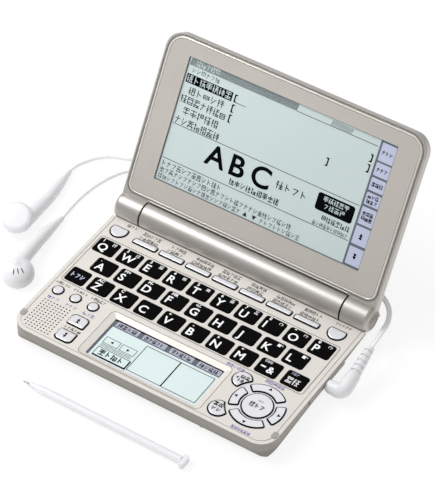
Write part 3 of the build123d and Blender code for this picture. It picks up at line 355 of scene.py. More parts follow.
CHAMPAGNE = (0.79, 0.75, 0.705)
# The case's champagne paint darkened for its walls: painted shade.
WALL_SHADE = (0.30, 0.275, 0.25)
# Lighter than the champagne: painted highlight along thin edges.
HIGHLIGHT_TINT = (0.86, 0.83, 0.78)
materials = {
    # On the case, the darker walls are painted shade.
    "case": two_tone(CHAMPAGNE, WALL_SHADE, 0.42, 0.25),
    # Bottom case and battery cover: darker again than the walls, as painted shade.
    "under": moulded(shade(WALL_SHADE, 0.85), 0.5, metallic=0.25),
    # The lid's champagne paint darkened as painted shade, most on its upward faces.
    "lid": two_tone(shade(CHAMPAGNE, 0.48), shade(CHAMPAGNE, 0.7), 0.36, 0.5),
    "bezel": moulded((0.52, 0.49, 0.45), 0.4, change=0.03, metallic=0.3),
    "hinge": brushed((0.53, 0.51, 0.485), 0.42),
    # Dark disc on the lug's end face: painted shade.
    "lug_end_shade": moulded((0.32, 0.285, 0.25), 0.34, metallic=0.8),
    # Dark lines in the rim's groove and the gap above the barrel: painted shade.
    "groove_shade": moulded((0.08, 0.072, 0.065), 0.4, metallic=0.4),
    # Thin tubes along the frame's edge and the lid's lower edge: painted highlight.
    "painted_highlight": moulded(HIGHLIGHT_TINT, 0.22, change=0.02, metallic=0.4),
    "rubber": moulded((0.36, 0.35, 0.34), 0.7, 0.3, 0.006),
    "black": moulded((0.002, 0.002, 0.0022), 0.35, 0.4, 0.002, specular=0.035),
    "silver": two_tone((0.84, 0.84, 0.88), (0.008, 0.008, 0.009), 0.22, 0.2, turn=(0.9, 0.98)),
    "cap": moulded((0.86, 0.86, 0.90), 0.22, 0.4, 0.001, 0.03, metallic=0.45),
    "pad": moulded((0.86, 0.86, 0.89), 0.25, change=0.03, metallic=0.4),
    "dome": moulded((0.96, 0.96, 0.98), 0.15, 1.0, 0.001, 0.005),
    # Near-black: black print on the keys, and painted shade in key gaps, the hinge seam, the earbuds' vent
    # slots and at the lower screen's rear edge.
    "slot": moulded((0.008, 0.008, 0.009), 0.6, 0.3, specular=0.1),
    "lcd": moulded((0.51, 0.59, 0.59), 0.4, 0.3, 0.001, 0.02, specular=0.25),
    # The lower screen's LCD, lighter than the main one to make up for the shade of its recess: painted
    # light.
    "lcd_lightened": moulded((0.68, 0.785, 0.785), 0.4, 0.3, 0.001, 0.02, specular=0.25),
    "glass_edge": moulded((0.2, 0.21, 0.23), 0.4),
    # Dark slate: the touch strip's own colour, and painted shade at the inner edges of both screens.
    "wall": moulded((0.10, 0.12, 0.15), 0.4, 0.3, 0.001, 0.03),
    "cell": moulded((0.47, 0.50, 0.65), 0.35, 0.3, 0.001, 0.02),
    "cell_low": moulded((0.40, 0.41, 0.50), 0.35, 0.3, 0.001, 0.02),
    "pixel": printed((0.003, 0.004, 0.0045), 0.6, 0.03, specular=0.0),
    "pixel_soft": printed((0.02, 0.028, 0.03), 0.5, 0.03, specular=0.1),
    "pixel_grey": printed((0.05, 0.065, 0.07), 0.5, 0.03, specular=0.1),
    "legend": printed((0.93, 0.93, 0.94)),
    "legend_blue": printed((0.62, 0.64, 0.85)),
    "legend_grey": printed((0.13, 0.13, 0.15)),
    "ink": printed((0.02, 0.018, 0.016), 0.6, 0.03, specular=0.1),
    "ink_blue": printed((0.15, 0.13, 0.46), 0.6, 0.03),
    # Dark lines of painted shade along edges and creases of the deck and the lid's frame.
    "line": printed((0.22, 0.195, 0.17)),
    # Light bars beside the keyboard's line: painted highlight.
    "shine": printed(HIGHLIGHT_TINT, 0.3, metallic=0.3),
    "white": moulded((0.755, 0.755, 0.775), 0.3, 1.2, 0.0015, 0.008),
    "cord": moulded((0.85, 0.85, 0.86), 0.45, 0.6, 0.002, 0.015),
    "grille": grille_paint(),
    "stylus": stylus_paint(),
    "steel": brushed((0.6, 0.6, 0.6), 0.3),
    "silicone": moulded((0.6, 0.6, 0.58), 0.6),
    "board": moulded((0.02, 0.12, 0.05), 0.35),
    "speaker": moulded((0.02, 0.02, 0.02), 0.7),
    "battery": moulded((0.25, 0.27, 0.30), 0.3, metallic=0.6),
}
for look, material in materials.items():
    material.name = look

CROWNED = ("power_key", "backlight_key", "function_keys", "side_keys", "voice_back_keys")
SILVER_KEYS = CROWNED + ("enter_key", "cursor_keys")
NODE_LOOKS = {
    "base_top_case": "case", "base_bottom_case": "under", "battery_cover": "under",
    "lid_back_cover": "lid", "lid_front_frame": "bezel", "hinge_barrel": "hinge",
    "main_screen_window": "lcd", "sub_screen_window": "lcd_lightened", "main_screen_module": "glass_edge",
    "sub_screen_module": "glass_edge", "keypad_mat": "silicone", "rubber_feet": "rubber",
    "main_board": "board", "speaker_driver": "speaker", "battery_set": "battery",
    "case_screws": "steel", "hinge_shafts": "steel", "stylus": "stylus", "earphone_plug": "white",
    "earphone_mouldings": "white",
}


def dress_nodes():
    """Gives every CAD node its material."""
    for name, node in frame["nodes"].items():
        look = NODE_LOOKS.get(name, "black" if name.startswith("key_") else "cord")
        node.data.materials.clear()
        node.data.materials.append(materials["silver" if name in SILVER_KEYS else look])


SHARP = 38                  # degrees between faces at which an edge shows


def add_piece(name, mesh, body, look, smooth=False):
    """Puts a mesh into the scene on its body, with its material."""
    piece = linked(name, mesh)
    mesh.materials.append(materials[look])
    for face in mesh.polygons:
        face.use_smooth = smooth
    if smooth:
        mesh.set_sharp_from_angle(angle=SHARP * DEG)
    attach(piece, body)
    return piece


# ---- cords ----
CORD_WIDTH = 2.7
CORD_THICK = 1.5
TWIN_WAIST = 0.72           # thickness of the twin cord in its middle, as a share of a lead's
BRANCH = 1.7
FLAT_Z = TABLE + CORD_THICK / 2
BRANCH_Z = TABLE + BRANCH / 2
COIL = (-15.0, 98.0)
COIL_OUTER = 19.55          # middle of the outer turn
COIL_INNER = 11.45
COIL_TURN_POINTS = 16
COIL_LAYER_TURNS = 3        # turns that the cord needs from the outer one to the inner one
COIL_LAST = 7.5             # turns in all
SPLITTER_X = (-1.5, 12.5)
SPLITTER_Y = COIL[1] + COIL_OUTER
SPLITTER_Z = TABLE + 1.5
PLUG_TAIL = (81.9, 27.3, 11.9)
LEFT_TAIL = (-115.9, 57.0, 1.1)
RIGHT_TAIL = (-99.2, 27.0, 1.1)


def at_height(z, *run):
    return [(x, y, z) for x, y in run]


MAIN_POINTS = [
    PLUG_TAIL, (81.95, 31.6, 12.6), (80.9, 37.4, 10.9), (79.7, 43.4, 8.7), (78.3, 49.4, 6.3),
    (76.0, 55.4, 4.0), (72.9, 61.3, 2.1), (68.6, 66.4, 0.8),
] + at_height(
    FLAT_Z, (62.6, 70.3), (54.0, 73.4), (42.0, 75.9), (29.0, 77.6), (15.0, 78.15), (2.0, 78.45),
    (-7.0, 78.45),
)
LEFT_POINTS = at_height(
    BRANCH_Z, (12.5, 116.25), (17.1, 116.15), (22.3, 117.25), (28.0, 120.8), (31.6, 127.0),
    (29.5, 133.8), (22.5, 138.0), (12.0, 139.9), (-2.0, 140.2), (-18.0, 138.5), (-34.0, 133.5),
    (-48.0, 125.5), (-59.0, 115.0), (-67.5, 104.0), (-75.5, 94.2), (-84.5, 86.8), (-94.4, 82.2),
    (-104.0, 79.0), (-110.4, 73.6), (-114.0, 67.4),
) + [(-115.9, 61.9, 0.76), LEFT_TAIL]
RIGHT_POINTS = at_height(
    BRANCH_Z, (12.5, 118.85), (16.1, 118.75), (20.6, 120.3), (24.8, 123.8), (25.6, 129.2),
    (21.6, 134.0), (14.0, 135.6), (3.0, 136.1), (-10.0, 135.0), (-25.0, 131.4), (-39.0, 125.2),
    (-51.0, 116.2), (-60.5, 105.0), (-67.5, 94.0), (-75.0, 85.5), (-84.0, 80.0), (-91.8, 74.2),
    (-96.2, 66.0), (-99.0, 56.5), (-100.4, 46.5), (-100.4, 38.0),
) + [(-99.83, 31.6, 0.51), RIGHT_TAIL]


def coil_point(turn):
    """Middle of the cord after so many turns: inwards on the floor, outwards on top of that."""
    pitch = (COIL_OUTER - COIL_INNER) / COIL_LAYER_TURNS
    inward = min(turn, COIL_LAYER_TURNS) * pitch
    outward = min(max(turn - COIL_LAYER_TURNS - 1, 0), COIL_LAYER_TURNS) * pitch
    radius = COIL_OUTER - inward + outward
    climb = min(max(turn - COIL_LAYER_TURNS, 0), 1)
    z = FLAT_Z + CORD_THICK * math.sin(climb * math.pi / 2)
    angle = -math.pi / 2 - 2 * math.pi * turn
    return (COIL[0] + radius * math.cos(angle), COIL[1] + radius * math.sin(angle), z)


def coil_points():
    """The coil's turns, and the way down from its top to the splitter."""
    steps = int(COIL_LAST * COIL_TURN_POINTS)
    turns = [coil_point(step / COIL_TURN_POINTS) for step in range(steps + 1)]
    top = FLAT_Z + CORD_THICK
    return turns + [(-9.0, SPLITTER_Y, top - 0.4), (-4.5, SPLITTER_Y, SPLITTER_Z),
                    (SPLITTER_X[0], SPLITTER_Y, SPLITTER_Z)]


def spline(name, points, section=None, radius=0.0):
    """NURBS cord through given control points."""
    data = bpy.data.curves.new(name, "CURVE")
    data.dimensions = "3D"
    data.resolution_u = 6
    line = data.splines.new("NURBS")
    line.points.add(len(points) - 1)
    for point, place in zip(line.points, points):
        point.co = (*mm(*place), 1)
    line.order_u = 3
    line.use_endpoint_u = True
    data.twist_mode = "Z_UP"
    data.use_fill_caps = True
    if section:
        data.bevel_mode = "OBJECT"
        data.bevel_object = section
    else:
        data.bevel_depth = radius * MILLI
        data.bevel_resolution = 4
    data.materials.append(materials["cord"])
    piece = linked(name, data)
    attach(piece, "base")
    return piece


def twin_section():
    """Section of the twin cord: two round leads side by side, joined in the middle."""
    lead = CORD_THICK / 2
    centre = CORD_WIDTH / 2 - lead
    meet = math.asin(TWIN_WAIST)
    outline = []
    for side in (1, -1):
        for step in range(11):
            angle = (meet - math.pi) + 2 * (math.pi - meet) * step / 10
            outline.append((side * (centre + lead * math.cos(angle)), side * lead * math.sin(angle)))
    data = bpy.data.curves.new("twin_section", "CURVE")
    data.dimensions = "2D"
    line = data.splines.new("POLY")
    line.points.add(len(outline) - 1)
    for point, (x, y) in zip(line.points, outline):
        point.co = (x * MILLI, y * MILLI, 0, 1)
    line.use_cyclic_u = True
    return bpy.data.objects.new("twin_section", data)


def lay_cords():
    main = spline("earphone_cord", MAIN_POINTS + coil_points(), section=twin_section())
    left = spline("left_branch", LEFT_POINTS, radius=BRANCH / 2)
    right = spline("right_branch", RIGHT_POINTS, radius=BRANCH / 2)
    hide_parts("cord_main", "cord_coil")
    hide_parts("cord_left")
    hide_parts("cord_right")
    return main, left, right


# ---- lofted and turned shapes ----
def loft(name, rings, caps=True):
    """Mesh through rings of points, closed at both ends."""
    shape = bmesh.new()
    rows = [[shape.verts.new(point) for point in ring] for ring in rings]
    count = len(rings[0])
    for low, high in zip(rows, rows[1:]):
        for i in range(count):
            j = (i + 1) % count
            shape.faces.new((low[i], low[j], high[j], high[i]))
    if caps:
        shape.faces.new(list(reversed(rows[0])))
        shape.faces.new(rows[-1])
    bmesh.ops.recalc_face_normals(shape, faces=shape.faces)
    return mesh_of(name, shape)


def circle(centre, axis, radius, sides, flat=1.0, up=UP):
    """Ring of points round an axis, in metres from millimetres; flat squashes it along up."""
    axis = axis.normalized()
    up = (up - axis * up.dot(axis)).normalized()
    across = axis.cross(up)
    points = []
    for i in range(sides):
        angle = 2 * math.pi * i / sides
        offset = across * math.cos(angle) * radius + up * math.sin(angle) * radius * flat
        points.append((centre + offset) * MILLI)
    return points


def along(path, radii, sides, flat=1.0):
    """Rings along a path of points in millimetres."""
    rings = []
    for i, point in enumerate(path):
        before, after = path[max(i - 1, 0)], path[min(i + 1, len(path) - 1)]
        rings.append(circle(point, after - before, radii[i], sides, flat))
    return rings


def round_about(path, thick, up):
    """Rings of a thin round line along a closed path in millimetres."""
    count = len(path)
    rings = [circle(path[i], path[(i + 1) % count] - path[i - 1], thick, 10, 1.0, up) for i in range(count)]
    return rings + rings[:1]


def turned(centre, axis, profile, sides):
    """Rings of a turned shape: profile gives (distance along the axis, radius)."""
    axis = axis.normalized()
    return [circle(centre + axis * height, axis, radius, sides) for height, radius in profile]


def joined(name, meshes, voxel, smoothing):
    """One smooth skin round several closed meshes, as a moulding has."""
    shape = bmesh.new()
    for mesh in meshes:
        shape.from_mesh(mesh)
    holder = linked(name, mesh_of(name, shape))
    remesh = holder.modifiers.new("remesh", "REMESH")
    remesh.mode = "VOXEL"
    remesh.voxel_size = voxel * MILLI
    soften = holder.modifiers.new("soften", "SMOOTH")
    soften.factor = 0.5
    soften.iterations = smoothing
    bpy.context.view_layer.update()
    graph = bpy.context.evaluated_depsgraph_get()
    skin = bpy.data.meshes.new_from_object(holder.evaluated_get(graph))
    bpy.data.objects.remove(holder)
    return skin


# ---- earphones ----
BUD_PROFILE = [             # distance along the facing direction, and radius
    (-4.1, 0.6), (-4.0, 2.5), (-3.5, 4.5), (-2.4, 6.3), (-0.8, 7.7), (0.8, 8.35), (2.0, 8.45),
    (2.9, 8.2), (3.6, 7.6), (4.0, 6.9),
]
BUD_FACE = [(3.9, 6.8), (4.2, 6.5), (4.35, 5.4), (4.5, 3.2), (4.55, 0.4)]
STEM_SHARES = (0.0, 0.12, 0.3, 0.5, 0.66, 0.8, 0.92, 1.0)
STEM_RADII = (4.3, 3.9, 3.6, 3.45, 3.2, 2.5, 1.75, 1.45)
SKIN_VOXEL, SKIN_SMOOTHING = 0.42, 5
LEFT_BUD = {"centre": (-114.9, 10.4, 5.9), "facing": (0.206, -0.353, 0.912), "root": (-112.5, 9.8, 3.3),
            "tail": LEFT_TAIL, "bow": 1.2, "fan": 0}
RIGHT_BUD = {"centre": (-93.3, -18.7, 5.1), "facing": (-0.2, 0.25, -0.95), "root": (-94.7, -19.0, 6.2),
             "tail": RIGHT_TAIL, "bow": -1.3, "fan": -40}
SLOT_LONG, SLOT_WIDE = 3.2, 0.55
SLOT_STEP = 1.75            # from one vent slot to the next
SLOT_FAN = 0.28             # how far the outer slots lean outwards
SLOT_START = 0.2            # from the head's middle
SLOT_STEPS = 6
OUTSIDE = 12                # further from the head's middle than its skin


def earbud(name, centre, facing, root, tail, bow, fan):
    """Head and stem as one moulding, with the sound grille and the vent slots."""
    centre, facing, root, tail = (Vector(spot) for spot in (centre, facing, root, tail))
    facing.normalize()
    head = loft(name + "_head", turned(centre, facing, BUD_PROFILE, 40))
    run = tail - root
    side = run.cross(UP).normalized()
    path = [root + run * share + side * bow * math.sin(math.pi * share) for share in STEM_SHARES]
    stem = loft(name + "_stem", along(path, STEM_RADII, 28))
    skin = joined(name, [head, stem], SKIN_VOXEL, SKIN_SMOOTHING)
    shell = add_piece(name, skin, "base", "white", smooth=True)
    face = loft(name + "_grille", turned(centre, facing, BUD_FACE, 40))
    add_piece(name + "_grille", face, "base", "grille", smooth=True)
    add_vents(name + "_vent_shade", skin, centre, facing, run.normalized(), fan)
    return shell


def add_vents(name, skin, centre, facing, stem_way, fan):
    """Three slots that fan out on the back of the head, below the stem, as dark strips of painted shade on
    its skin.
    """
    surface = BVHTree.FromPolygons([v.co for v in skin.vertices], [p.vertices for p in skin.polygons])
    down = -(stem_way - facing * stem_way.dot(facing)).normalized()
    down.rotate(Matrix.Rotation(fan * DEG, 3, facing))
    across = facing.cross(down)
    shape = bmesh.new()
    for turn in (-1, 0, 1):
        way = (down + across * SLOT_FAN * turn).normalized()
        wide = facing.cross(way)
        start = centre + across * SLOT_STEP * turn - facing * OUTSIDE + down * SLOT_START
        columns = []
        for step in range(SLOT_STEPS + 1):
            share = step / SLOT_STEPS
            half = SLOT_WIDE / 2 * math.sin(math.pi * (0.12 + 0.76 * share))
            spots = [(start + way * SLOT_LONG * share + wide * half * k) * MILLI for k in (-1, 1)]
            hits = [surface.ray_cast(spot, facing)[0] for spot in spots]
            if None not in hits:
                columns.append([shape.verts.new(hit - facing * INK * MILLI) for hit in hits])
        for low, high in zip(columns, columns[1:]):
            shape.faces.new((low[0], low[1], high[1], high[0]))
    add_piece(name, mesh_of(name, shape), "base", "slot")


SPLITTER_PROFILE = (        # distance along X, and half width
    (0.0, 1.5), (0.6, 1.75), (2.0, 1.9), (4.0, 2.4), (8.0, 2.65), (11.5, 2.65), (13.2, 2.4), (14.0, 2.0),
)
SPLITTER_FLAT = 0.56


def splitter():
    """Flattened moulding where the twin cord parts into its two branches."""
    path = [Vector((SPLITTER_X[0] + reach, SPLITTER_Y, SPLITTER_Z)) for reach, _ in SPLITTER_PROFILE]
    radii = [radius for _, radius in SPLITTER_PROFILE]
    mesh = loft("splitter", along(path, radii, 28, SPLITTER_FLAT))
    piece = add_piece("splitter", mesh, "base", "white", smooth=True)
    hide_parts("earphone_mouldings")
    return piece


PLUG_START = Vector((74.75, 0.5, 5.7))
PLUG_ELBOW = Vector((82.9, 0.4, 5.7))
PLUG_BEND = Vector((82.8, 11.6, 8.7))
PLUG_TURN = 3.2             # from the elbow's corner to the ends of its curve
PLUG_R = 3.8
PLUG_COLLAR = ((0.0, 0.7), (0.9, 0.7), (1.1, 0.35))         # distance from the case, and step in
PLUG_ARM = ((0.0, 0.0), (0.5, 0.1), (0.9, 0.3), (1.0, 0.8))     # share of the arm, and step in
RELIEF_RIBS = 5
RELIEF_R, RELIEF_TAPER = 3.0, 0.16
RELIEF_RIB = ((0.02, 0.8), (0.22, 0.8), (0.3, 0.0), (0.92, 0.1))    # share of one rib, and step in
PIN = [(0, 1.75), (-8.2, 1.75), (-8.3, 1.6), (-8.7, 1.6), (-8.8, 1.7), (-11.2, 1.6), (-12.3, 0.8)]


def plug():
    """Right-angled plug: body, elbow and a ribbed strain relief, with its pin in the jack."""
    arm = (PLUG_BEND - PLUG_ELBOW).normalized()
    turn_in, turn_out = PLUG_ELBOW - X_AXIS * PLUG_TURN, PLUG_ELBOW + arm * PLUG_TURN
    rings = [(PLUG_START + X_AXIS * reach, PLUG_R - step) for reach, step in PLUG_COLLAR]
    rings.append((turn_in, PLUG_R - 0.1))
    for step in range(1, 10):
        t = step / 10
        spot = turn_in * (1 - t) ** 2 + PLUG_ELBOW * 2 * t * (1 - t) + turn_out * t ** 2
        rings.append((spot, PLUG_R))
    rings += [(turn_out.lerp(PLUG_BEND, share), PLUG_R - step) for share, step in PLUG_ARM]
    for rib in range(RELIEF_RIBS):
        for share, step in RELIEF_RIB:
            spot = PLUG_BEND.lerp(Vector(PLUG_TAIL), (rib + share) / RELIEF_RIBS)
            rings.append((spot, RELIEF_R - RELIEF_TAPER * rib - step))
    path, radii = zip(*rings)
    body = add_piece("plug_body", loft("plug_body", along(path, radii, 28)), "base", "white",
                     smooth=True)
    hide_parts("earphone_plug")
    pin = loft("plug_pin", turned(PLUG_START, X_AXIS, PIN, 24))
    add_piece("plug_pin", pin, "base", "steel", smooth=True)
    return body


# ---- print ----
def font_mesh(words, size, bold=0.0):
    """Flat mesh of words in Blender's own font."""
    data = bpy.data.curves.new("words", "FONT")
    data.body = words
    data.size = size
    data.offset = bold
    holder = bpy.data.objects.new("words", data)
    mesh = bpy.data.meshes.new_from_object(holder)
    bpy.data.objects.remove(holder)
    return mesh


CAPITAL = max(v.co.y for v in font_mesh("H", 1.0).vertices)      # height of a capital at size 1


def corner_path(x0, y0, x1, y1, low_r, high_r=None, shift=0.0, steps=4):
    """Outline of a rectangle with round corners, shifted outwards."""
    high_r = high_r or low_r
    corners = ((1, -1, low_r, -90), (1, 1, high_r, 0), (-1, 1, high_r, 90), (-1, -1, low_r, 180))
    points = []
    for side, end, r, start in corners:
        cx = x1 - r if side > 0 else x0 + r
        cy = y1 - r if end > 0 else y0 + r
        for step in range(steps + 1):
            angle = (start + 90 / steps * step) * DEG
            points.append((cx + (r + shift) * math.cos(angle), cy + (r + shift) * math.sin(angle)))
    return points


class Print:
    """Flat shapes on one face, gathered into one thin piece. Places are in millimetres."""

    def __init__(self, name, look, body, slot, place):
        self.facts = (name, look, body, slot)
        self.place = place
        self.shape = bmesh.new()

    def piece(self):
        name, look, body, slot = self.facts
        return add_piece(name, mesh_of(name, self.shape), body, look)

    def polygon(self, points):
        self.shape.faces.new([self.shape.verts.new(self.place(x, y)) for x, y in points])

    def bar(self, x0, y0, x1, y1):
        self.polygon([(x0, y0), (x1, y0), (x1, y1), (x0, y1)])

    def line(self, start, end, width):
        (x0, y0), (x1, y1) = start, end
        reach = math.hypot(x1 - x0, y1 - y0)
        nx, ny = (y0 - y1) / reach * width / 2, (x1 - x0) / reach * width / 2
        self.polygon([(x0 - nx, y0 - ny), (x1 - nx, y1 - ny), (x1 + nx, y1 + ny), (x0 + nx, y0 + ny)])

    def outline(self, x0, y0, x1, y1, width):
        self.bar(x0, y0, x1, y0 + width)
        self.bar(x0, y1 - width, x1, y1)
        self.bar(x0, y0 + width, x0 + width, y1 - width)
        self.bar(x1 - width, y0 + width, x1, y1 - width)

    def rounded(self, x0, y0, x1, y1, r):
        self.polygon(corner_path(x0, y0, x1, y1, r))

    def track(self, points, width):
        """Closed line of even width along points."""
        count = len(points)
        sides = []
        for i, (x, y) in enumerate(points):
            before, after = points[i - 1], points[(i + 1) % count]
            nx, ny = before[1] - after[1], after[0] - before[0]
            reach = math.hypot(nx, ny) / (width / 2)
            sides.append(((x - nx / reach, y - ny / reach), (x + nx / reach, y + ny / reach)))
        for (a, b), (c, d) in zip(sides, sides[1:] + sides[:1]):
            self.polygon([a, b, d, c])

    def ring(self, x, y, inner, outer, start=0, end=360, steps=72):
        for step in range(steps):
            a, b = ((start + (end - start) * (step + k) / steps) * DEG for k in (0, 1))
            spots = ((inner, a), (outer, a), (outer, b), (inner, b))
            self.polygon([(x + r * math.cos(angle), y + r * math.sin(angle)) for r, angle in spots])

    def triangle(self, x, y, size, turn=0):
        """Arrow head that points up, turned anticlockwise by so many degrees."""
        sine, cosine = math.sin(turn * DEG) * size, math.cos(turn * DEG) * size
        spots = ((-0.5, -0.42), (0.5, -0.42), (0, 0.46))
        self.polygon([(x + a * cosine - b * sine, y + a * sine + b * cosine) for a, b in spots])

    def words(self, words, x, y, capitals, bold=0.0, centred=True, squeeze=1.0):
        """Words with capitals so high, at the middle or left end of their baseline."""
        size = capitals / CAPITAL
        mesh = font_mesh(words, size, bold * size)
        across = [v.co.x for v in mesh.vertices]
        shift = (min(across) + max(across)) / 2 if centred else min(across)
        spots = [(x + (v.co.x - shift) * squeeze, y + v.co.y) for v in mesh.vertices]
        for face in mesh.polygons:
            self.polygon([spots[i] for i in face.vertices])
        bpy.data.meshes.remove(mesh)

    def signs(self, x0, x1, y, height, seed, dense, weight):
        """A row of made-up signs that say nothing, from x0 to x1 along the baseline y."""
        chance = random.Random(seed)
        count = max(1, round((x1 - x0) / height))
        pitch = (x1 - x0) / count
        wide = min(pitch * 0.88, height)
        for i in range(count):
            left = x0 + pitch * i
            for strokes in (full_sign(chance) if chance.random() < dense else light_sign(chance)):
                ends = [(left + ax * wide, y + ay * height) for ax, ay in strokes]
                self.line(*ends, weight * height)

    def rows(self, *rows):
        """Rows of signs: left, right, baseline, height, seed, share of full signs, weight."""
        for row in rows:
            self.signs(*row)

    def hatch(self, x0, y0, x1, y1, pitch, share):
        """Slanting lines that shade a band."""
        lean = min(pitch, (y1 - y0) / 2)
        for i in range(int((x1 - x0) / pitch)):
            x = x0 + pitch * i
            self.polygon([(x, y0), (x + pitch * share, y0), (x + pitch * share + lean, y1), (x + lean, y1)])


def full_sign(chance):
    """Strokes of a made-up sign as full as a block, in a unit square."""
    strokes = []
    left = 0.04
    if chance.random() < 0.55:
        strokes.append(((0.18, 0.0), (0.18, 1.0)))
        strokes += [((0.02, level), (0.36, level)) for level in chance.sample((0.28, 0.52, 0.78), 2)]
        left = 0.46
    levels = sorted(chance.sample((0.08, 0.3, 0.5, 0.7, 0.92), chance.randint(3, 4)))
    strokes += [((left, level), (0.98, level)) for level in levels]
    middle = (left + 0.98) / 2
    kind = chance.randrange(3)
    if kind == 0:
        strokes += [((x, levels[0]), (x, levels[-1])) for x in (left + 0.06, 0.92)]
    elif kind == 1:
        strokes.append(((middle, 0.0), (middle, 1.0)))
    else:
        strokes += [((middle, levels[-1]), (left, 0.0)), ((middle, levels[1]), (0.98, 0.0))]
    return strokes


def light_sign(chance):
    """Two or three strokes of a made-up sign, in a unit square."""
    return (
        [((0.12, 0.8), (0.86, 0.8)), ((0.84, 0.8), (0.3, 0.05))],
        [((0.14, 0.9), (0.36, 0.7)), ((0.1, 0.55), (0.32, 0.38)), ((0.22, 0.05), (0.9, 0.75))],
        [((0.3, 0.98), (0.3, 0.05)), ((0.3, 0.62), (0.8, 0.36))],
        [((0.08, 0.66), (0.92, 0.66)), ((0.5, 1.0), (0.5, 0.5)), ((0.5, 0.5), (0.2, 0.02))],
    )[chance.randrange(4)]


def level_print(name, look, body, slot, z):
    return Print(name, look, body, slot, lambda x, y: mm(x, y, z))


def deck_print(name, look, slot="case_champagne", layer=1.0):
    return level_print(name, look, "base", slot, DECK + INK * layer)


def key_print(name, look, node, slot="key_black", rise=0.0):
    return level_print(name, look, node, slot, KEY_TOP + rise + INK)


def lower_print(name, look, layer):
    return level_print(name, look, "base", "display", SUB_GLASS + INK * layer)


def screen_print(name, look, layer):
    return Print(name, look, "lid", "display", lambda x, u: lid_point(x, u, GLASS_OUT + INK * layer))


# ---- keys ----
FLANGE = Vector((0.7, 0.7, 0))      # a key's hidden edge under the deck
ROW_MARKS = dict(zip("qwertyuiopasdfgzxvbnm", "1 2 3 4 5 6 7 8 9 0 . M+ M- MR +/- AC C + - × ÷".split()))
LETTER_LEFT = 1.75          # from the key's left edge to its letter
LETTER_BASE = 1.55          # from the key's front edge to the letter's baseline
LETTER_CAPS = 4.5
LETTER_BOLD = 0.02
MARK_LEFT = 2.25
MARK_BACK = 2.3             # from the key's rear edge to the baseline of its small mark
MARK_CAPS = 1.75
MARK_BOLD = 0.03
ICON_LEFT = 3.95            # from the key's right edge to the left of its icon
ICON_BACK = 2.9             # from the key's rear edge to the front of its icon
ICON_LINE = 0.28


def cap_edges(node):
    """Corners of the part of a key that shows above the deck."""
    low, high = box_mm(node)
    return low + FLANGE, high - FLANGE


def icon(legend, letter, x, y):
    """Small icon in the rear right corner of a letter key: made-up sign, loop arrow or flag."""
    if letter in "qwertyu":
        legend.signs(x + 0.1, x + 2.5, y - 0.2, 2.3, letter, 1.0, 0.13)
    elif letter in "iop":
        legend.ring(x + 1.25, y + 0.9, 0.65, 0.65 + ICON_LINE, -60, 230, 18)
        legend.triangle(x + 2.2, y + 1.0, 0.9, 200)
    elif letter in "kl":
        legend.bar(x, y, x + 1.75, y + 1.8)
        legend.line((x + 1.75, y + 1.5), (x + 2.7, y + 1.5), ICON_LINE)
        legend.line((x + 2.6, y + 1.5), (x + 2.6, y + 0.8), ICON_LINE)


def letter_prints():
    """White letters with a small mark and an icon, each riding on its own key."""
    for letter in "qwertyuiopasdfghjklzxcvbnm":
        low, high = cap_edges("key_" + letter)
        legend = key_print("legend_" + letter, "legend", "key_" + letter)
        legend.words(letter.upper(), low.x + LETTER_LEFT, low.y + LETTER_BASE, LETTER_CAPS, LETTER_BOLD,
                     centred=False)
        if letter in ROW_MARKS:
            legend.words(ROW_MARKS[letter], low.x + MARK_LEFT, high.y - MARK_BACK, MARK_CAPS, MARK_BOLD,
                         centred=False)
        icon(legend, letter, high.x - ICON_LEFT, high.y - ICON_BACK)
        legend.piece()


def word_key_prints():
    """Legends of the shift, dash and delete keys."""
    low, high = cap_edges("key_shift")
    shift = key_print("legend_shift", "legend_blue", "key_shift")
    shift.signs(low.x + 1.4, high.x - 1.2, low.y + 3.0, 3.2, 5, 0.0, 0.13)
    shift.piece()
    low, high = cap_edges("key_dash")
    dash = key_print("legend_dash", "legend", "key_dash")
    dash.bar(low.x + 1.7, low.y + 3.8, low.x + 4.5, low.y + 4.7)
    dash.words("&", low.x + 7.6, low.y + 1.7, 3.9, LETTER_BOLD)
    dash.signs(low.x + 1.9, low.x + 6.2, high.y - 2.3, 1.7, 3, 1.0, 0.13)
    dash.piece()
    low, high = cap_edges("key_delete")
    delete = key_print("legend_delete", "legend", "key_delete")
    delete.signs(low.x + 1.9, low.x + 9.4, low.y + 1.5, 4.0, 11, 1.0, 0.135)
    delete.piece()
    cancel = key_print("legend_cancel", "legend_blue", "key_delete")
    cancel.signs(low.x + 1.9, low.x + 6.6, high.y - 2.4, 1.6, 6, 0.6, 0.1)
    cancel.piece()


GAP_SHADE_WIDTH = 0.25              # width of the painted shade round a silver key
SPEAKER = Vector((-61.24, -38.85))
SPEAKER_REACH = 12.5        # openings as near as this to the speaker's middle get no line
CROWN = ((0.0, 0.0), (0.12, 0.1), (0.35, 0.17), (0.7, 0.21), (1.1, 0.23))   # inset from the edge, height
DOME = (                    # height over the key's flat top, and radius
    (0.0, 6.5), (0.1, 6.35), (0.12, 6.1), (0.06, 5.9), (0.06, 5.7), (0.16, 5.35), (0.2, 4.4), (0.22, 2.8),
    (0.23, 0.3),
)
CROWN_TOP, DOME_TOP = CROWN[-1][1], DOME[-1][0]
WELD = 1e-6                 # metres within which corners of a CAD node are one
LEVEL = 0.99                # least upward part of a level face's normal
LEVEL_SLACK = 0.02


def level_faces(node, z):
    """A CAD node as a bmesh, and its faces that look up at the height z, in order."""
    shape = bmesh.new()
    shape.from_mesh(frame["nodes"][node].data)
    bmesh.ops.remove_doubles(shape, verts=shape.verts, dist=WELD)
    return shape, dict.fromkeys(
        face for face in shape.faces
        if face.normal.z > LEVEL and all(abs(v.co.z / MILLI - z) < LEVEL_SLACK for v in face.verts))


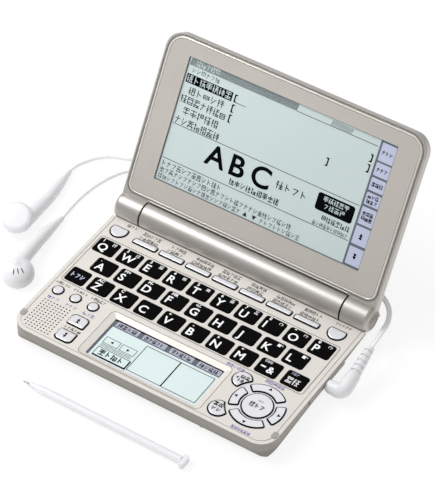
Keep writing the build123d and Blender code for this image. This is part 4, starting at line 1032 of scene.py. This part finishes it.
def key_gap_shade():
    """Painted shade: a dark line round the deck's opening for each silver key, where the gap is."""
    shape, deck = level_faces("base_top_case", DECK)
    boxes = [box_mm(node) for node in SILVER_KEYS]
    drawn = deck_print("key_gap_shade", "slot")
    for edge in shape.edges:
        near = [face for face in edge.link_faces if face in deck]
        if len(near) != 1 or len(edge.link_faces) < 2:
            continue
        a, b = (v.co / MILLI for v in edge.verts)
        spot = (a + b) / 2
        if not any(low.x < spot.x < high.x and low.y < spot.y < high.y for low, high in boxes):
            continue
        out = Vector((a.y - b.y, b.x - a.x, 0))
        if (spot.xy - SPEAKER).length < SPEAKER_REACH or out.length < 1e-4:
            continue
        out = out.normalized() * GAP_SHADE_WIDTH
        if (near[0].calc_center_median() / MILLI - spot).dot(out) < 0:
            out, a, b = -out, b, a
        drawn.polygon([(a.x, a.y), (b.x, b.y), (b.x + out.x, b.y + out.y), (a.x + out.x, a.y + out.y)])
    shape.free()
    drawn.piece()


def top_outlines(node):
    """Outlines of the flat tops of a node of keys."""
    shape, tops = level_faces(node, KEY_TOP)
    follows = {}
    for face in tops:
        for loop in face.loops:
            if all(other is face or other not in tops for other in loop.edge.link_faces):
                follows[loop.vert] = loop.link_loop_next.vert
    outlines = []
    while follows:
        vert, outline = next(iter(follows)), []
        while vert in follows:
            outline.append((vert.co.x / MILLI, vert.co.y / MILLI))
            vert = follows.pop(vert)
        outlines.append(outline)
    shape.free()
    return outlines


def crown_rings(outline):
    """Rings that rise from a key's outline to its crown."""
    (x0, y0), (x1, y1) = ([pick(spot[k] for spot in outline) for k in (0, 1)] for pick in (min, max))
    cx, cy = (x0 + x1) / 2, (y0 + y1) / 2
    rings = []
    for inset, high in CROWN:
        sx, sy = 1 - min(2 * inset / (x1 - x0), 0.9), 1 - min(2 * inset / (y1 - y0), 0.9)
        rings.append([mm(cx + (x - cx) * sx, cy + (y - cy) * sy, KEY_TOP + high) for x, y in outline])
    return rings


def key_crowns():
    """Low bright crown on each silver key."""
    for node in CROWNED:
        whole = bmesh.new()
        for outline in top_outlines(node):
            whole.from_mesh(loft("crown", crown_rings(outline)))
        add_piece(node + "_crown", mesh_of(node + "_crown", whole), node, "cap", smooth=True)


ARROW_R = 12.0              # from the pad's middle to its arrows
ARROW = 1.9
PAD_RINGS = ((8.1, 8.85), (13.95, 14.5))
PAD_SPOKES = (31.0, 139.0, 211.0, 319.0)    # angles at which the gaps between the arrows' keys start
PAD_SPOKE = 10.0
PAGE_X, PAGE_Y = -46.05, (-33.4, -44.5)
BESIDE_SIGNS = (
    (39.2, 44.2, -21.3, 2.3, 8, 1.0, 0.19), (38.9, 42.2, -24.0, 2.0, 9, 0.3, 0.2),
    (37.6, 42.9, -42.3, 2.3, 12, 0.7, 0.19), (37.9, 43.1, -45.3, 2.3, 13, 0.2, 0.2),
)


def silver_key_prints():
    """Arrows and small signs on the silver keys, and the bright rings round the cursor pad."""
    low, high = box_mm("enter_key")
    x, y = (low.x + high.x) / 2, (low.y + high.y) / 2
    arrows = key_print("cursor_arrows", "slot", "cursor_keys", "key_silver")
    for turn in (0, 90, 180, 270):
        angle = (90 + turn) * DEG
        arrows.triangle(x + ARROW_R * math.cos(angle), y + ARROW_R * math.sin(angle), ARROW, turn)
    arrows.piece()
    enter = key_print("legend_enter", "legend_grey", "enter_key", "key_silver", DOME_TOP)
    enter.rows((x - 3.9, x + 4.3, y - 1.9, 2.9, 4, 0.3, 0.15),
               (x - 1.2, x + 1.6, y + 2.4, 1.1, 14, 0.0, 0.16))
    enter.piece()
    dome = loft("enter_dome", turned(Vector((x, y, KEY_TOP)), UP, DOME, 64))
    add_piece("enter_dome", dome, "enter_key", "dome", smooth=True)
    rings = deck_print("pad_rings", "pad", "key_silver", layer=0.5)
    for inner, outer in PAD_RINGS:
        rings.ring(x, y, inner, outer)
    for start in PAD_SPOKES:
        rings.ring(x, y, PAD_RINGS[0][1], PAD_RINGS[1][0], start, start + PAD_SPOKE, 8)
    rings.piece()
    pages = key_print("legend_pages", "slot", "side_keys", "key_silver", CROWN_TOP)
    for page_y, turn in zip(PAGE_Y, (0, 180)):
        for shift in (-0.75, 0.75):
            pages.triangle(PAGE_X, page_y + shift, ARROW, turn)
    pages.piece()
    beside = key_print("legend_beside", "ink", "voice_back_keys", "key_silver", CROWN_TOP)
    beside.triangle(37.9, -21.7, 1.5, 90)
    beside.rows(*BESIDE_SIGNS)
    beside.piece()


# ---- deck labels ----
FIELD = (-70.2, -14.4, 69.3, 21.5)      # outline round the letter keys
FIELD_CORNER = 1.6
FIELD_LINE = 0.38
SUB_EDGE = (-36.2, -49.3, 33.5, -17.7)  # outer edge of the slope round the lower screen
SUB_CORNER = 2.6
BAR_X, BAR_Y = [-48.2 + 15.74 * i for i in range(7)], 27.2
ROUND_X, ROUND_Y = [-66.5 + 10.4 * i for i in range(3)], -21.5
LABELS_ABOVE_BARS = (2.3, 5.3)          # rows of small print, from the bars' middle
LABEL_HIGH = 2.3
DECK_SIGNS = (
    (-63.5, -57.2, 33.2, 1.9, 50, 0.5, 0.13), (58.6, 67.4, 33.3, 1.9, 51, 0.2, 0.13),
    (-50.3, -40.6, -40.1, 1.9, 70, 0.3, 0.13),
)
VIOLET_SIGNS = (
    (28.4, 38.6, -17.4, 1.9, 90, 0.5, 0.13), (50.0, 60.8, -16.9, 2.0, 91, 0.8, 0.13),
    (51.6, 62.2, -49.4, 1.9, 92, 0.8, 0.13),
)


def deck_prints():
    """Small print round the keys, dark lines of painted shade at the edge of the keyboard field and of the
    slope round the lower screen, and a painted highlight beside the keyboard's line.
    """
    # Dark lines: painted shade at the edges of the keyboard field and the slope.
    line = deck_print("field_edge_shade", "line")
    line.track(corner_path(*FIELD, FIELD_CORNER), FIELD_LINE)
    line.track(corner_path(*SUB_EDGE, SUB_CORNER), FIELD_LINE * 0.8)
    line.piece()
    # Light bars beside the keyboard's line: painted highlight.
    shine = deck_print("field_shine", "shine")
    x0, y0, x1, y1 = FIELD
    shine.bar(x0 + FIELD_LINE, y1 - 2 * FIELD_LINE, x1 - FIELD_LINE, y1 - FIELD_LINE)
    shine.bar(x0, y0 - FIELD_LINE, x1, y0)
    shine.bar(x1, y0, x1 + FIELD_LINE, y1)
    shine.piece()
    dark = deck_print("deck_labels", "ink")
    for i, x in enumerate(BAR_X):
        wide = 5.9 - 0.9 * (i % 3 == 1)
        for row, rise in enumerate(LABELS_ABOVE_BARS):
            seed = 20 + 2 * i + row
            dark.signs(x - wide + 0.7 * row, x + wide - 0.5, BAR_Y + rise, LABEL_HIGH, seed, 0.75, 0.115)
    for i, x in enumerate(ROUND_X):
        dark.signs(x - 4.4, x + 4.2, ROUND_Y + 3.9, 1.9, 60 + i, 0.3, 0.13)
    dark.rows(*DECK_SIGNS)
    dark.piece()
    violet = deck_print("violet_labels", "ink_blue")
    for i, x in enumerate(ROUND_X):
        violet.signs(x - 2.2, x + 4.6, ROUND_Y - 6.6, 2.0, 80 + i, 0.3, 0.13)
    violet.rows(*VIOLET_SIGNS)
    violet.piece()


# ---- main screen: places are x along the hinge and u up the lid ----
LCD = (-58.7, 20.3, 49.5, 85.3)
STRIP = (49.9, 20.15, 59.35, 85.35)
CELLS_X = (51.0, 58.9)
CELLS_U = ((75.1, 84.3), (67.5, 74.2), (59.9, 66.4), (52.4, 58.7), (42.3, 51.2), (31.9, 41.2), (21.3, 30.5))
TITLE_BAND = (-58.5, 81.3, 3.5, 85.3)
CHOSEN = (-58.2, 72.4, -31.4, 77.0)
LABEL = (27.3, 40.05, 48.0, 48.9)
RULES = (50.35, 31.86)
THIN = 0.3
TITLE = (("A", -30.5), ("B", -17.7), ("C", -4.2))
TITLE_BASE, TITLE_CAPS, TITLE_BOLD, TITLE_WIDE = 38.2, 10.2, 0.02, 1.08
BRACKETS = (                # x, low end, high end, and the way they open
    (-30.2, 72.6, 76.7, 1), (-30.2, 67.2, 71.5, 1), (-30.2, 61.9, 66.2, 1), (48.4, 72.6, 76.7, -1),
    (48.4, 67.2, 71.5, -1), (27.2, 61.9, 66.2, -1),
)
SCREEN_SIGNS = (            # the menu's four rows, then the words round the title
    (-55.0, -34.0, 67.0, 4.0, 100, 0.72, 0.1), (-58.0, -31.5, 62.0, 4.0, 101, 0.72, 0.1),
    (-55.0, -34.0, 56.4, 4.0, 102, 0.72, 0.1), (-58.0, -31.5, 50.9, 4.0, 103, 0.72, 0.1),
    (4.5, 22.5, 41.4, 4.0, 120, 0.7, 0.12), (32.5, 48.5, 35.7, 2.9, 121, 0.9, 0.12),
    (28.5, 48.5, 32.5, 2.0, 122, 0.6, 0.11), (-20.0, 9.0, 33.2, 3.3, 123, 0.6, 0.12),
)
HELP_SIGNS = (
    (-58.0, -22.5, 27.9, 3.0, 130, 0.45, 0.11), (-58.0, 19.0, 24.5, 2.8, 131, 0.45, 0.11),
    (-58.0, -9.2, 21.2, 2.6, 132, 0.45, 0.1), (1.6, 25.0, 21.2, 2.6, 133, 0.3, 0.1),
    (-56.5, -40.0, 78.0, 2.6, 134, 0.3, 0.1),
)
REVERSED_SIGNS = (
    (-57.8, -31.7, 72.9, 3.7, 141, 0.95, 0.1), (30.6, 45.2, 45.2, 2.7, 142, 0.9, 0.12),
    (31.8, 43.8, 41.7, 2.7, 143, 0.5, 0.12), (-55.0, -41.0, 81.9, 3.0, 144, 0.8, 0.12),
)


def bracket(sheet, x, u0, u1, way):
    """Thick bracket that opens to the right, way 1, or to the left, way -1."""
    tip = 1.9
    spots = [(0, u0), (tip, u0), (0.75, u0 + 0.9), (0.75, u1 - 0.9), (tip, u1), (0, u1)]
    points = [(x + way * dx, u) for dx, u in spots]
    sheet.polygon(points if way > 0 else points[::-1])


def main_screen_prints():
    dark = screen_print("screen_text", "pixel", 1)
    dark.rows(*SCREEN_SIGNS)
    dark.bar(*CHOSEN)
    for facts in BRACKETS:
        bracket(dark, *facts)
    dark.bar(-28.8, 72.6, -22.9, 72.6 + THIN)
    for u in RULES:
        dark.bar(LCD[0] + 0.3, u, LCD[2] - 0.2, u + THIN)
    dark.bar(TITLE_BAND[2], 81.2, LCD[2] - 0.3, 81.2 + THIN)
    for letter, x in TITLE:
        dark.words(letter, x, TITLE_BASE, TITLE_CAPS, TITLE_BOLD, squeeze=TITLE_WIDE)
    dark.rounded(*LABEL, 1.3)
    dark.piece()
    soft = screen_print("screen_help", "pixel_soft", 1)
    soft.rows(*HELP_SIGNS)
    soft.triangle(-6.6, 22.5, 2.6)
    soft.triangle(-1.6, 22.5, 2.6, 180)
    soft.hatch(22.5, 81.7, 34.5, 84.4, 0.75, 0.35)
    soft.piece()
    band = screen_print("screen_band", "pixel_grey", 1)
    band.hatch(*TITLE_BAND, 0.62, 0.62)
    band.piece()
    pale = screen_print("screen_reverse", "lcd", 2)
    pale.rows(*REVERSED_SIGNS)
    pale.piece()


def screen_edge_shades():
    """Painted shade along the inner edge of the main window's recess."""
    x0, u0, x1, u1 = LCD[0] - 0.7, 20.05, STRIP[2] + 0.05, 85.45
    edge = screen_print("screen_edge_shade", "wall", 1)
    edge.bar(x0, u0, x0 + 0.45, u1)
    edge.bar(x0 + 0.45, u1 - 0.4, x1, u1)
    edge.bar(x0 + 0.45, u0, STRIP[0], u0 + 0.5)
    edge.piece()


def touch_strip():
    """Dark strip at the right of the screen, with a cell for each shortcut."""
    back = screen_print("strip_back", "wall", 1)
    back.bar(*STRIP)
    back.piece()
    cells = screen_print("strip_cells", "cell", 2)
    for low, high in CELLS_U:
        cells.rounded(CELLS_X[0], low, CELLS_X[1], high, 0.4)
    cells.piece()
    text = screen_print("strip_text", "pixel", 3)
    left, right = CELLS_X[0] + 0.9, CELLS_X[1] - 0.9
    for i, (low, high) in enumerate(CELLS_U[:5]):
        centre = (low + high) / 2
        rows = (centre + 0.3, centre - 2.3) if i in (3, 4) else (centre - 1.1,)
        for row, u in enumerate(rows):
            text.signs(left, right, u, 2.1, 150 + 2 * i + row, 0.8 if i > 1 else 0.0, 0.17)
    for (low, high), turn in zip(CELLS_U[5:], (0, 180)):
        for shift in (-0.7, 0.7):
            text.triangle(sum(CELLS_X) / 2, (low + high) / 2 + shift, 2.0, turn)
    text.piece()


# ---- lower screen ----
SUB = (-32.3, -47.2, 30.3, -21.1)
SUB_WALL = 1.3              # inner wall seen at the left and rear, drawn dark on the screen as painted shade
SUB_SHADOW = 0.9
SUB_STRIP = (-25.9, -22.0)
SUB_CELLS = ((-30.4, -17.3), (-14.9, -1.6), (0.8, 14.0), (16.6, 29.6))
SUB_SQUARES = ((-10.0, -45.6, 9.7, -27.4), (9.7, -45.6, 29.2, -27.4))
ARROW_BOXES = ((-29.5, -37.1, -21.0, -32.8, 90), (-20.0, -37.1, -11.7, -32.8, 270))
BUTTON = (-29.5, -45.7, -11.0, -40.1)
HATCHES = (-38.0, -38.75, -39.5)


def sub_screen_prints():
    x0, y0, x1, y1 = SUB
    # The recess's inner wall at the left and rear as flat dark bars of painted shade, and a painted shadow
    # along the rear edge.
    wall = lower_print("sub_wall_shade", "wall", 1)
    wall.bar(x0, y0, x0 + SUB_WALL, y1 - SUB_SHADOW)
    wall.bar(x0 + SUB_WALL, SUB_STRIP[0], x1, y1 - SUB_SHADOW)
    wall.piece()
    shadow = lower_print("sub_shadow", "slot", 1)
    shadow.bar(x0, y1 - SUB_SHADOW, x1, y1)
    shadow.piece()
    cells = lower_print("sub_cells", "cell_low", 2)
    for left, right in SUB_CELLS:
        cells.rounded(left, SUB_STRIP[0] + 0.6, right, SUB_STRIP[1] + 0.2, 0.4)
    cells.piece()
    text = lower_print("sub_text", "pixel", 3)
    for i, (left, right) in enumerate(SUB_CELLS):
        text.signs(left + 1.2, right - 1.2, SUB_STRIP[0] + 1.0, 2.4, 160 + i, 0.6, 0.14)
    for square in SUB_SQUARES:
        text.outline(*square, THIN)
    for left, front, right, rear, turn in ARROW_BOXES:
        text.outline(left, front, right, rear, 0.22)
        text.triangle((left + right) / 2, front + 2.1, 1.7, turn)
    left, front, right, rear = BUTTON
    for y in HATCHES:
        text.hatch(left, y, right - 0.2, y + 0.35, 0.8, 0.5)
    text.outline(*BUTTON, 0.28)
    text.bar(left, front - 0.6, right, front)
    text.bar(right, front - 0.6, right + 0.5, rear - 0.2)
    text.signs(left + 2.2, right - 2.2, front + 1.1, 3.6, 171, 0.8, 0.14)
    text.piece()


# ---- trim of the hinge and lid ----
BARREL_R = 7.0
SEAM_X = 58.2
SEAM_WIDE = 0.7
SEAM = [(-SEAM_WIDE / 2, -0.3), (-SEAM_WIDE / 2, 0.03), (SEAM_WIDE / 2, 0.03), (SEAM_WIDE / 2, -0.3)]
SLEEVE_X = (59.2, 71.9)
SLEEVE_R = 7.03
CAP_X = 74.02               # just outside the end face of a lug
CAP_PROFILE = [(0, 4.75), (0.04, 4.6), (0.05, 0.2)]
CAP_RING_R, CAP_RING_THICK = 4.85, 0.22
# A dark line of painted shade in the gap, and a light line of painted highlight on the lid's edge.
LID_EDGE_LINES = (          # name, height up the lid, place out of it, thickness, material
    ("lid_gap_shade", 7.25, 1.5, 0.34, "groove_shade"),
    ("lid_edge_shine", 7.9, 1.62, 0.28, "painted_highlight"),
)


def lug_trim(side, tag):
    """Painted shade in the seam between barrel and lug, the lug's sleeve, and a ringed cap in its outer end
    whose dark disc is painted shade.
    """
    places = (SEAM_X + SEAM_WIDE / 2, *SLEEVE_X, CAP_X)
    seam, near, far, face = (Vector((side * x, AXIS.y, AXIS.z)) for x in places)
    profile = [(across, BARREL_R + rise) for across, rise in SEAM]
    sleeve = [(0, SLEEVE_R), ((far - near).length, SLEEVE_R)]
    ring = []
    for i in range(64):
        angle = 2 * math.pi * i / 64
        ring.append(face + Vector((0, math.cos(angle), math.sin(angle))) * CAP_RING_R)
    pieces = (
        ("hinge_seam_shade_", turned(seam, X_AXIS, profile, 64), False, "base", "slot", "speaker_black"),
        ("lug_sleeve_", turned(near, far - near, sleeve, 96), False, "lid", "hinge", "hinge_metal"),
        ("lug_cap_", turned(face, X_AXIS * side, CAP_PROFILE, 48), True, "lid", "lug_end_shade", "hinge_metal"),
        ("lug_ring_", round_about(ring, CAP_RING_THICK, X_AXIS), False, "lid", "hinge", "hinge_metal"),
    )
    for name, rings, caps, body, look, slot in pieces:
        add_piece(name + tag, loft(name + tag, rings, caps), body, look, smooth=look != "slot")


def lid_edge_lines():
    """Painted shade in the gap and a painted highlight on the edge along the lid, above the barrel."""
    for name, up, out, thick, look in LID_EDGE_LINES:
        ends = [lid_point(side * (SEAM_X - 0.3), up, out) / MILLI for side in (-1, 1)]
        mesh = loft(name, along(ends, (thick, thick), 12))
        add_piece(name, mesh, "lid", look, smooth=True)


FRAME = (-71.3, 9.5, 71.3, 93.2)
FRAME_CORNERS = (4.0, 8.0)      # low and high corners of the frame
# A painted highlight on the frame's edge, and dark lines of painted shade in the crease and the groove
# beside it.
RIM_LINES = (                   # name, distance outside the frame, height over its face, thickness, material
    ("frame_highlight", 0.1, -0.18, 0.34, "painted_highlight"),
    ("frame_crease_shade", -0.42, -0.06, 0.13, "line"),
    ("rim_groove_shade", 1.0, -0.32, 0.14, "groove_shade"),
)


def rim_lines():
    """Round lines that follow the edge of the lid's front frame: a painted highlight, and painted shade in a
    crease and a groove.
    """
    face = lid_front("lid_front_frame")
    for name, shift, height, thick, look in RIM_LINES:
        spots = corner_path(*FRAME, *FRAME_CORNERS, shift, steps=8)
        path = [lid_point(x, u, face + height) / MILLI for x, u in spots]
        mesh = loft(name, round_about(path, thick, LID_OUT), caps=False)
        add_piece(name, mesh, "lid", look, smooth=True)


# ---- make everything ----
make_camera()
make_world()
make_floor()
make_lamps()
dress_nodes()
letter_prints()
word_key_prints()
key_gap_shade()
key_crowns()
silver_key_prints()
deck_prints()
main_screen_prints()
screen_edge_shades()
touch_strip()
sub_screen_prints()
lug_trim(-1, "left")
lug_trim(1, "right")
lid_edge_lines()
rim_lines()
main_cord, left_cord, right_cord = lay_cords()
left_bud = earbud("left_earbud", **LEFT_BUD)
right_bud = earbud("right_earbud", **RIGHT_BUD)
y_piece = splitter()
plug_piece = plug()

bpy.context.scene.view_settings.view_transform = "Standard"
